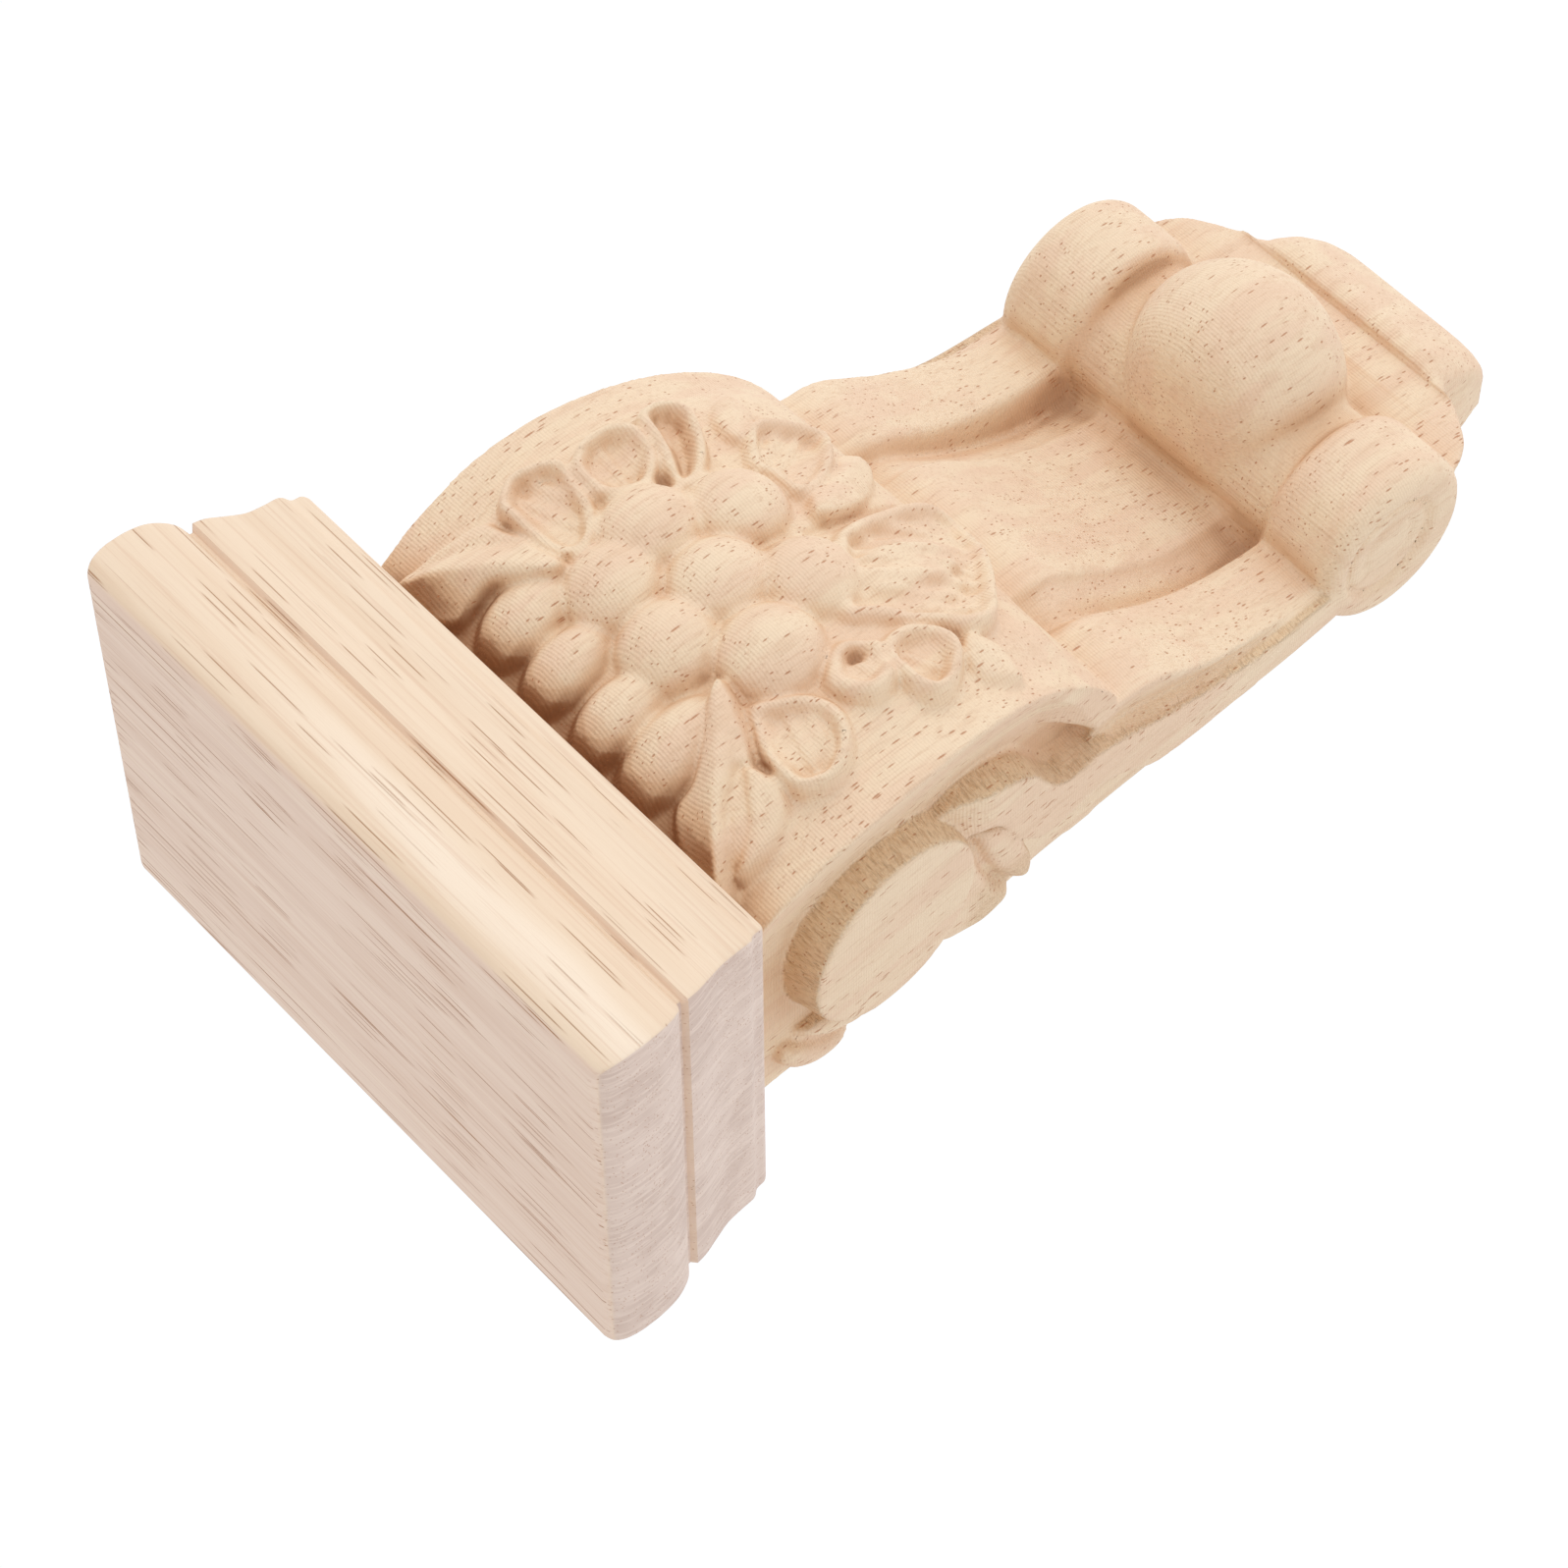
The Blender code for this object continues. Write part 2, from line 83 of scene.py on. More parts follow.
# Stem, neck and lip
# Each stem row: drop, then the depth of the middle line, crest, flute bottom, inner edge of the
# band, band and outer edge
STEM_ROWS = [
    (90, 30.0, 29.6, 27.6, 29.2, 29.4, 28.6), (101, 30.0, 29.6, 27.4, 29.2, 29.4, 28.5),
    (105, 30.1, 29.7, 26.5, 29.0, 29.2, 28.1), (107.5, 29.6, 29.1, 25.2, 28.2, 28.5, 27.4),
    (109.5, 28.3, 27.9, 23.7, 27.0, 27.4, 26.4), (112, 26.5, 26.2, 21.8, 25.3, 25.6, 24.6),
    (118, 21.9, 21.2, 17.6, 21.5, 21.8, 20.8), (124, 18.0, 17.2, 14.3, 18.8, 19.0, 17.9),
    (130, 15.2, 14.2, 11.7, 17.0, 16.9, 15.6), (136, 13.7, 12.7, 10.5, 16.0, 15.8, 14.1),
    (140, 13.2, 12.3, 10.2, 15.7, 15.4, 13.6), (190, 13.2, 12.3, 10.2, 15.7, 15.4, 13.6),
]
CREST = 12.6
FLUTE_BOTTOM = 18.0
BAND_EDGE = 20.6
STEM_OUTER = 34.0
FOOT_DROP = 142.0
LIP_TOP_DROP = 176.8
LIP_CORNER = 2.6
BOTTOM_DROP = 190.0
NECK_DEPTHS = [(142, 13.4), (158, 15.0), (166, 17.4), (172, 17.2), (175.6, 16.6), (176.4, 16.2),
               (177.2, 17.8), (179.5, 17.9), (184, 15.2), (188.5, 11.2), (190, 9.4)]
EDGE_HALF_WIDTHS = [(30, 37.0), (41, 37.8), (52, 38.4), (62, 38.1), (75, 36.6), (86, 35.3),
                    (100.4, 33.8), (106, 33.8), (112, 33.6), (119, 33.0), (128, 31.9), (136, 31.4),
                    (142, 31.3), (165, 31.2), (170, 29.4), (173, 27.2), (176, 22.6),
                    (176.8, 21.6), (178.2, 17.6), (184, 17.2), (188.5, 16.6), (190, 15.4)]
BACK_HALF_WIDTHS = [(30, 33.8), (60, 33.0), (90, 30.4), (110, 29.6), (140, 28.6), (162, 27.6),
                    (172, 25.6), (176, 21.6), (178.2, 17.6), (184, 17.2), (190, 15.4)]
SIDE_HOLLOW_POWER = 2.6
COVE_START = 0.66
COVE_POWER = 1.5
# Pocket between the bulge and the ledge: drops of its end, behind and in front
POCKET_STEP = 0.5
POCKET_BACK_END = 97.0
POCKET_FRONT_END = 86.0
STEM_SIDE_DEPTH = 28.6
STEM_TOP_DROP = 96.0

# Lower scrolls
BALL_RADIUS = 15.6
BALL_DEPTH = 22.0
SCROLL_DROP = 153.8
VOLUTE_RADIUS = 13.2
VOLUTE_DEPTH = 15.2
VOLUTE_INNER = 18.5
VOLUTE_OUTER = 33.4
VOLUTE_ROUNDING = 3.6
BRIDGE_RADIUS = 11.5
BRIDGE_DEPTH = 13.5
BALL_DROP = 155.0
BALL_SQUASH = 1.1
FLANK_FOOT = (13.0, 142.3)
FLANK_TOP = (33.0, 141.4)
WEDGE_RADIUS = 12.6
WEDGE_DEPTH = 17.0
WEDGE_HALF = 11.0
WEDGE_ROUNDING = 6.0

# Raised side scroll: a disc, and a tail whose outline is (depth, drop)
SIDE_FACE = 38.4
SIDE_FACE_DROP = 57.5
SIDE_SLOPE = math.tan(math.radians(3.3))
SIDE_SINK = 9.0
DISC_RADIUS = 14.2
DISC_DEPTH = 23.4
TAIL_OUTLINE = [
    (9.3, 143), (9.6, 119), (11.0, 107), (16.6, 97), (16.0, 86), (20.5, 80.5), (28.0, 75.5),
    (30.0, 66.0), (33.5, 68.0), (35.4, 74.0), (32.6, 81.8), (24.6, 88.2), (23.8, 97),
    (19.6, 109), (16.8, 119), (14.5, 130), (13.8, 143),
]
WALL_DRAFT = 0.2
# Leaves behind the disc, as (depth, drop): outline, crease, and how far out they stand
SIDE_LEAVES = [
    ([(6.8, 40.2), (2.6, 42.6), (0.4, 46.4), (0.5, 50.8), (2.4, 54.2), (6.9, 56.4), (9.2, 52.0),
      (10.0, 47.0), (9.4, 42.6)],
     [(8.6, 43.0), (4.6, 47.6), (2.8, 52.6)], 35.9),
    ([(27.2, 74.2), (25.0, 77.8), (20.4, 80.9), (16.0, 82.6), (12.6, 83.6), (9.4, 82.8), (7.8, 79.0),
      (6.6, 74.8), (7.2, 71.4), (9.0, 66.8), (14.0, 64.6), (22.0, 68.0), (26.0, 71.0)],
     [(25.4, 72.8), (19.0, 74.8), (13.4, 77.4), (9.0, 80.8)], 36.9),
]

# Carving on the bulge: across, drop and radius, or half width and half length
GRAPES = [
    (9.0, 52.0, 7.4), (-2.6, 51.3, 7.6), (12.4, 60.8, 7.6), (0.2, 61.6, 7.7), (-12.0, 59.4, 7.9),
    (8.0, 71.2, 7.5), (-6.4, 70.6, 7.6),
]
GADROONS = [
    (-13.4, 42.6, 5.4, 9.4), (-4.6, 41.0, 4.8, 7.6), (5.4, 41.2, 4.8, 7.4), (14.6, 42.2, 5.2, 7.8),
]
# Leaf blades: outline, central ridge, edge height, ridge height
BLADES = [
    ([(31.3, 35.4), (31.3, 39.6), (30.9, 42.0), (30.3, 44.5), (29.4, 46.6), (28.1, 47.9), (26.3, 48.1),
      (24.3, 48.7), (21.3, 49.6), (17.5, 50.2), (14.5, 49.5), (16.5, 46.0), (20.1, 42.8), (20.4, 40.0),
      (20.7, 37.1), (22.3, 35.8), (24.1, 35.0), (27.2, 34.8)],
     [(31.0, 35.8), (29.9, 37.5), (28.1, 39.3), (24.6, 41.8), (20.8, 44.9), (16.5, 47.6), (13.9, 48.4)],
     2.0, 2.3),
    ([(-11.6, 52.2), (-15.9, 51.6), (-20.3, 49.4), (-24.4, 46.5), (-26.5, 42.5), (-28.8, 39.3),
      (-31.9, 36.0), (-30.9, 35.0), (-26.9, 35.0), (-22.3, 36.2), (-19.0, 38.8), (-18.7, 42.0),
      (-16.3, 45.8), (-12.7, 49.6)],
     [(-11.6, 51.8), (-17.0, 48.0), (-22.7, 43.2), (-28.1, 38.8), (-31.7, 36.1)], 1.9, 2.6),
    ([(-21.8, 46.8), (-25.5, 48.5), (-27.6, 48.6), (-30.2, 46.7), (-31.9, 43.3), (-31.9, 40.0),
      (-31.3, 37.3), (-28.4, 39.6), (-25.4, 41.8), (-23.2, 44.4)],
     [(-24.0, 47.2), (-28.0, 44.0), (-31.0, 39.0)], 1.8, 1.2),
    ([(-24.2, 80.2), (-26.6, 83.4), (-30.6, 84.0), (-32.6, 82.8), (-31.3, 79.4), (-28.8, 77.8),
      (-26.2, 78.0)],
     [(-25.0, 79.6), (-29.0, 81.0), (-32.0, 82.4)], 0.9, 1.0),
    ([(17.3, 79.3), (20.0, 78.4), (24.0, 80.0), (26.0, 83.6), (23.0, 85.2), (19.3, 83.6)],
     [(17.6, 79.6), (21.0, 81.6), (25.4, 83.2)], 0.9, 1.0),
    ([(1.4, 78.0), (6.0, 80.8), (9.6, 85.2), (11.4, 90.0), (9.4, 93.4), (5.7, 91.6), (2.0, 87.2),
      (0.4, 82.0)],
     [(1.6, 79.0), (5.4, 85.0), (9.8, 92.0)], 0.8, 1.2),
]
# Leaf cups: outline, rim height, bowl depth, rim width
CUPS = [
    ([(29.6, 50.2), (31.5, 53.0), (31.1, 55.6), (29.5, 58.4), (27.2, 59.8), (23.1, 59.2), (19.2, 58.0),
      (15.6, 55.4), (14.6, 52.2), (17.0, 49.8), (21.0, 49.1), (24.8, 49.0), (27.6, 49.1)],
     3.5, 2.3, 1.9),
    ([(25.6, 58.7), (28.2, 61.3), (28.9, 64.3), (28.2, 67.4), (26.0, 69.4), (22.6, 69.7), (19.3, 68.3),
      (16.8, 65.0), (17.4, 61.8), (19.3, 59.1), (22.1, 58.4)], 3.6, 2.3, 1.9),
    ([(27.0, 69.7), (28.3, 72.8), (27.0, 75.6), (24.3, 76.7), (20.9, 76.0), (17.3, 74.2), (14.4, 71.4),
      (13.4, 68.6), (14.3, 66.4), (16.8, 66.8), (20.4, 68.4), (23.7, 69.1)], 3.6, 2.5, 1.8),
    ([(19.2, 81.3), (18.6, 84.8), (16.6, 87.6), (14.2, 89.9), (10.6, 88.4), (7.2, 85.5), (5.2, 81.6),
      (5.8, 78.3), (10.2, 77.8), (12.2, 76.6), (15.9, 78.5)], 3.3, 1.8, 1.6),
    ([(-18.0, 63.0), (-16.6, 66.0), (-18.5, 69.4), (-21.1, 71.0), (-24.0, 70.1), (-26.2, 67.3),
      (-26.6, 63.8), (-23.8, 61.3), (-20.6, 60.7)], 3.2, 1.3, 2.2),
    ([(-19.7, 70.6), (-19.1, 74.2), (-20.7, 76.6), (-23.4, 78.1), (-27.0, 77.5), (-30.3, 74.0),
      (-30.8, 70.7), (-28.3, 68.6), (-25.0, 68.2), (-22.0, 68.8)], 3.4, 2.3, 1.8),
    ([(-15.8, 51.6), (-17.6, 55.1), (-20.2, 58.6), (-23.7, 60.1), (-27.2, 59.5), (-30.2, 57.3),
      (-31.8, 53.9), (-31.0, 50.8), (-29.3, 48.9), (-26.2, 48.4), (-22.3, 48.8), (-18.6, 50.2)],
     3.3, 2.1, 1.8),
    ([(-2.3, 78.0), (-1.0, 83.0), (-0.8, 88.3), (-1.4, 93.2), (-4.4, 95.6), (-10.0, 94.8), (-15.3, 92.2),
      (-20.5, 88.5), (-24.2, 85.2), (-24.6, 80.8), (-20.8, 76.7), (-17.2, 72.9), (-14.2, 69.0),
      (-9.0, 72.0), (-5.0, 75.0)], 3.4, 1.7, 2.0),
]
INNER_LEAF = [(-7.4, 76.8), (-6.7, 80.7), (-7.6, 85.2), (-10.9, 88.6), (-13.8, 88.0), (-15.2, 82.9),
              (-14.0, 76.7), (-11.1, 74.4)]
# Grooves cut with the tip of the tool: line, depth, half width
GROOVES = [
    ([(30.3, 38.4), (29.5, 40.5), (28.0, 42.6), (25.3, 45.6), (22.6, 47.6)], 0.8, 0.8),
    ([(-16.8, 51.6), (-20.5, 50.0), (-25.0, 48.6)], 0.9, 0.8),
    ([(-19.4, 48.6), (-24.0, 45.6), (-28.2, 42.6), (-30.6, 38.6)], 0.7, 0.7),
    ([(-0.2, 76.0), (0.0, 82.0), (0.2, 92.0)], 0.8, 0.9),
    ([(-8.6, 77.0), (-10.4, 82.0), (-12.4, 87.4)], 0.6, 0.7),
    ([(-4.6, 79.0), (-4.6, 84.6), (-7.0, 91.0)], 0.7, 0.9),
    ([(-17.6, 76.4), (-19.6, 81.6), (-17.4, 87.2)], 0.7, 0.9),
]
GAP_BLUR = 1.4
GAP_DEPTH = 1.5
CLUSTER_DROP = 61.0
CUP_REACH = 5.0
# Small deep holes: across, drop, half size across, half size down, depth
PITS = [(-19.5, 66.7, 1.1, 2.0, 2.2), (16.6, 67.0, 1.5, 1.3, 1.5)]

GRID_STEP = 0.5
TRIANGLE_LIMIT = 190000
HOLLOW_REACHES = (1.2, 2.5, 5.0, 9.0)


def smooth_step(amount):
    clamped = np.clip(amount, 0.0, 1.0)
    return clamped * clamped * (3 - 2 * clamped)


def read_curve(stations, position):
    return np.interp(position, [place for place, _ in stations], [value for _, value in stations])


def join(first, second, width):
    """Union of two distance fields, with a fillet in the crease."""
    share = np.clip(0.5 + 0.5 * (second - first) / width, 0.0, 1.0)
    return second + (first - second) * share - width * share * (1 - share)


def meet(first, second, width):
    """Intersection of two distance fields, with a worn edge."""
    return -join(-first, -second, width)


def soften(values, sigma, step):
    """Gaussian blur of a line of values."""
    reach = max(int(3 * sigma / step), 1)
    weights = np.exp(-0.5 * (np.arange(-reach, reach + 1) * step / sigma) ** 2)
    return np.convolve(np.pad(values, reach, mode="edge"), weights / weights.sum(), mode="valid")


def bulge_edge_depth(drop):
    rise = (drop - BULGE_DROP) / BULGE_HALF_HEIGHT
    return BULGE_DEPTH + BULGE_REACH * np.sqrt(np.maximum(1 - rise * rise, 0.0))


class ReliefMap:
    """Height of the carving above the bulge, by x across and s along the bulge's own curve."""

    STEP = 0.2
    LOW_X, HIGH_X = -40.0, 40.0
    LOW_S, HIGH_S = -46.0, 62.0

    def __init__(self):
        drops = np.arange(BULGE_DROP - 42.5, BULGE_DROP + 42.5, 0.05)
        depths = bulge_edge_depth(drops)
        steps = np.hypot(np.diff(drops), np.diff(depths))
        lengths = np.concatenate([[0.0], np.cumsum(steps)])
        self.drops = drops
        self.lengths = lengths - np.interp(BULGE_DROP, drops, lengths)
        self.xs = np.arange(self.LOW_X, self.HIGH_X, self.STEP)
        self.ss = np.arange(self.LOW_S, self.HIGH_S, self.STEP)
        self.u, self.v = np.meshgrid(self.xs, self.ss, indexing="ij")
        self.height = np.zeros_like(self.u)

    def along(self, drop):
        return np.interp(drop, self.drops, self.lengths)

    def local(self, across, drop, turn):
        """Coordinates in a frame at a place on the bulge; a positive turn lifts the +x end."""
        angle = math.radians(turn)
        dx = self.u - across
        dy = -(self.v - self.along(drop))
        return (dx * math.cos(angle) + dy * math.sin(angle),
                -dx * math.sin(angle) + dy * math.cos(angle))

    def raise_to(self, height, width=0.9):
        share = np.clip(0.5 + 0.5 * (height - self.height) / width, 0.0, 1.0)
        self.height = self.height + (height - self.height) * share + width * share * (1 - share)

    def lower_by(self, depth):
        self.height = self.height - depth

    def curve(self, points):
        return [(across, float(self.along(drop))) for across, drop in points]

    def inside_of(self, outline):
        """Part of the map round an outline, and how far each place there is inside it."""
        points = smooth_closed(self.curve(outline), 6)
        low = np.min(points, axis=0) - 1.0
        high = np.max(points, axis=0) + 1.0
        i0, i1 = np.searchsorted(self.xs, (low[0], high[0]))
        j0, j1 = np.searchsorted(self.ss, (low[1], high[1]))
        window = (slice(i0, i1), slice(j0, j1))
        return window, -outline_distance(points, self.u[window], self.v[window])

    def line_distance(self, line):
        return polyline_distance(self.curve(line), self.u, self.v)

    def replace(self, window, inside, height):
        share = smooth_step(inside / 0.5 + 0.5)
        self.height[window] = self.height[window] * (1 - share) + height * share

    def blur(self, sigma):
        for axis in (0, 1):
            self.height = np.apply_along_axis(soften, axis, self.height, sigma, self.STEP)

    def sample(self, x, s):
        fx = np.clip((x - self.LOW_X) / self.STEP, 0, len(self.xs) - 1.001)
        fs = np.clip((s - self.LOW_S) / self.STEP, 0, len(self.ss) - 1.001)
        i, j = fx.astype(np.int32), fs.astype(np.int32)
        a, b = fx - i, fs - j
        h = self.height
        return (h[i, j] * (1 - a) * (1 - b) + h[i + 1, j] * a * (1 - b)
                + h[i, j + 1] * (1 - a) * b + h[i + 1, j + 1] * a * b)


def dome(q):
    return np.sqrt(np.maximum(1 - q, 0.0))


def rounded_rise(amount):
    """Goes from 0 to 1 as a quarter circle: steep at first, then level."""
    left = 1 - np.clip(amount, 0.0, 1.0)
    return np.sqrt(1 - left * left)


def carve_relief():
    relief = ReliefMap()
    u, v = relief.u, relief.v
    bed_top, bed_foot = relief.along(BED_TOP_DROP), relief.along(BED_FOOT_DROP)
    bed = BED_LIFT * smooth_step((BED_HALF_WIDTH - np.abs(u)) / BED_EDGE)
    bed = bed * smooth_step((bed_foot - v) / BED_EDGE) * smooth_step((v - bed_top) / BED_EDGE)
    relief.height = bed.copy()
    for across, drop, half_width, half_length in GADROONS:
        a, b = relief.local(across, drop, 90)
        q = (a / half_length) ** 2 + (b / half_width) ** 2
        relief.raise_to(np.where(q < 1, bed - 1.0 + 4.6 * dome(q), -5.0))
    for outline, ridge, edge_height, ridge_height in BLADES:
        window, inside = relief.inside_of(outline)
        near = relief.line_distance(ridge)[window]
        blade = bed[window] + edge_height * rounded_rise(inside / 0.7)
        blade = blade + ridge_height * np.clip(1 - near / 5.4, 0, 1) ** 1.5
        relief.replace(window, inside, blade)
    for outline, rim_height, bowl_depth, rim_width in CUPS:
        window, inside = relief.inside_of(outline)
        middle = np.mean(relief.curve(outline), axis=0)
        inward = np.array([0.0, float(relief.along(CLUSTER_DROP))]) - middle
        inward = inward / np.hypot(*inward)
        lean = ((u[window] - middle[0]) * inward[0] + (v[window] - middle[1]) * inward[1]) / CUP_REACH
        lean = smooth_step(0.5 + 0.5 * lean)
        cup = bed[window] + rim_height * (1 - 0.45 * lean) * rounded_rise(inside / (0.8 * rim_width))
        bowl = smooth_step((inside - rim_width * 0.7) / 1.5)
        cup = cup - bowl_depth * (1.25 - 0.4 * lean) * bowl
        beside = (u[window] - middle[0]) * inward[1] - (v[window] - middle[1]) * inward[0]
        cup = cup + bowl * (0.3 * np.cos(2.3 * beside) - 0.5 * np.exp(-((beside - 0.5) / 0.55) ** 2))
        relief.replace(window, inside, cup)
    window, inside = relief.inside_of(INNER_LEAF)
    relief.height[window] += 1.5 * rounded_rise(np.maximum(inside, 0) / 1.8)
    for line, depth, half_width in GROOVES:
        near = relief.line_distance(line)
        relief.lower_by(depth * np.exp(-(near / half_width) ** 2))
    for across, drop, radius in GRAPES:
        a, b = relief.local(across, drop, 0)
        q = (a * a + b * b) / radius ** 2
        relief.raise_to(np.where(q < 1, bed - 0.34 * radius + 0.92 * radius * dome(q), -5.0), 0.7)
    relief.blur(0.3)
    kept = relief.height.copy()
    relief.blur(GAP_BLUR)
    smoothed = relief.height
    relief.height = kept
    relief.raise_to(smoothed - GAP_DEPTH, 0.5)
    for across, drop, half_across, half_down, depth in PITS:
        a, b = relief.local(across, drop, 0)
        q = (a / half_across) ** 2 + (b / half_down) ** 2
        relief.lower_by(depth * np.exp(-q * 1.4))
    return relief


def ellipse_distance(px, py, a, b):
    """Signed distance to an ellipse on its axes, with the cosine and sine of the foot's angle."""
    ax, ay = np.abs(px), np.abs(py)
    tx = np.full_like(ax, 0.7071)
    ty = np.full_like(ax, 0.7071)
    for _ in range(4):
        ex = (a * a - b * b) * tx ** 3 / a
        ey = (b * b - a * a) * ty ** 3 / b
        rx, ry = a * tx - ex, b * ty - ey
        qx, qy = ax - ex, ay - ey
        ratio = np.hypot(rx, ry) / np.maximum(np.hypot(qx, qy), 1e-6)
        tx = np.clip((qx * ratio + ex) / a, 0, 1)
        ty = np.clip((qy * ratio + ey) / b, 0, 1)
        size = np.maximum(np.hypot(tx, ty), 1e-6)
        tx, ty = tx / size, ty / size
    away = np.hypot(ax - a * tx, ay - b * ty)
    outside = (px / a) ** 2 + (py / b) ** 2 > 1
    return np.where(outside, away, -away), tx, ty * np.sign(py)


def outline_distance(points, px, py):
    """Signed distance from points to a closed polygon, inside negative."""
    nearest = np.full(px.shape, 1e9)
    inside = np.zeros(px.shape, bool)
    for (x0, y0), (x1, y1) in zip(points, points[1:] + points[:1]):
        dx, dy = x1 - x0, y1 - y0
        share = np.clip(((px - x0) * dx + (py - y0) * dy) / max(dx * dx + dy * dy, 1e-9), 0, 1)
        nearest = np.minimum(nearest, np.hypot(px - x0 - share * dx, py - y0 - share * dy))
        crosses = (y0 > py) != (y1 > py)
        at = x0 + (py - y0) * dx / (dy if dy else 1e-9)
        inside ^= crosses & (px < at)
    return np.where(inside, -nearest, nearest)


def between(p0, p1, p2, p3, pieces):
    """Points of a Catmull-Rom curve from p1 up to p2."""
    result = []
    for step in range(pieces):
        t = step / pieces
        result.append(tuple(0.5 * (2 * p1 + (p2 - p0) * t
                                   + (2 * p0 - 5 * p1 + 4 * p2 - p3) * t * t
                                   + (3 * p1 - p0 - 3 * p2 + p3) * t ** 3)))
    return result


def smooth_closed(points, pieces=8):
    """Catmull-Rom curve through a closed list of points."""
    result = []
    count = len(points)
    for i in range(count):
        corners = (np.array(points[(i + k) % count], float) for k in (-1, 0, 1, 2))
        result += between(*corners, pieces)
    return result


def polyline_distance(points, px, py):
    nearest = np.full(px.shape, 1e9)
    for (x0, y0), (x1, y1) in zip(points, points[1:]):
        dx, dy = x1 - x0, y1 - y0
        share = np.clip(((px - x0) * dx + (py - y0) * dy) / (dx * dx + dy * dy), 0, 1)
        nearest = np.minimum(nearest, np.hypot(px - x0 - share * dx, py - y0 - share * dy))
    return nearest


def rounded_disc(round_away, flat_away, rounding):
    """Distance field of a disc with rounded rims, from the distances to its core."""
    inner = np.minimum(np.maximum(round_away, flat_away), 0)
    return inner + np.hypot(np.maximum(round_away, 0), np.maximum(flat_away, 0)) - rounding


def stem_front(away, columns):
    """Depth of the stem's front: a middle band, a flute and a side band, either side of the middle."""
    middle, crest, bottom, inner, band, outer = columns
    on_middle = middle + (crest - middle) * np.clip(away / CREST, 0, 1) ** 2.2
    slope = np.clip((away - CREST) / (FLUTE_BOTTOM - CREST), 0, 1)
    on_slope = crest + (bottom - crest) * slope ** 0.6
    climb = np.clip((away - FLUTE_BOTTOM) / (BAND_EDGE - FLUTE_BOTTOM), 0, 1)
    on_wall = bottom + (inner - bottom) * smooth_step(climb) ** 0.8
    along = np.clip((away - BAND_EDGE) / (STEM_OUTER - BAND_EDGE), 0, 1.4)
    swell = band - (inner + outer) / 2
    on_band = inner + (outer - inner) * along + 4 * swell * along * (1 - along)
    front = np.where(away < CREST, on_middle, on_slope)
    front = np.where(away > FLUTE_BOTTOM, on_wall, front)
    return np.where(away > BAND_EDGE, on_band, front)


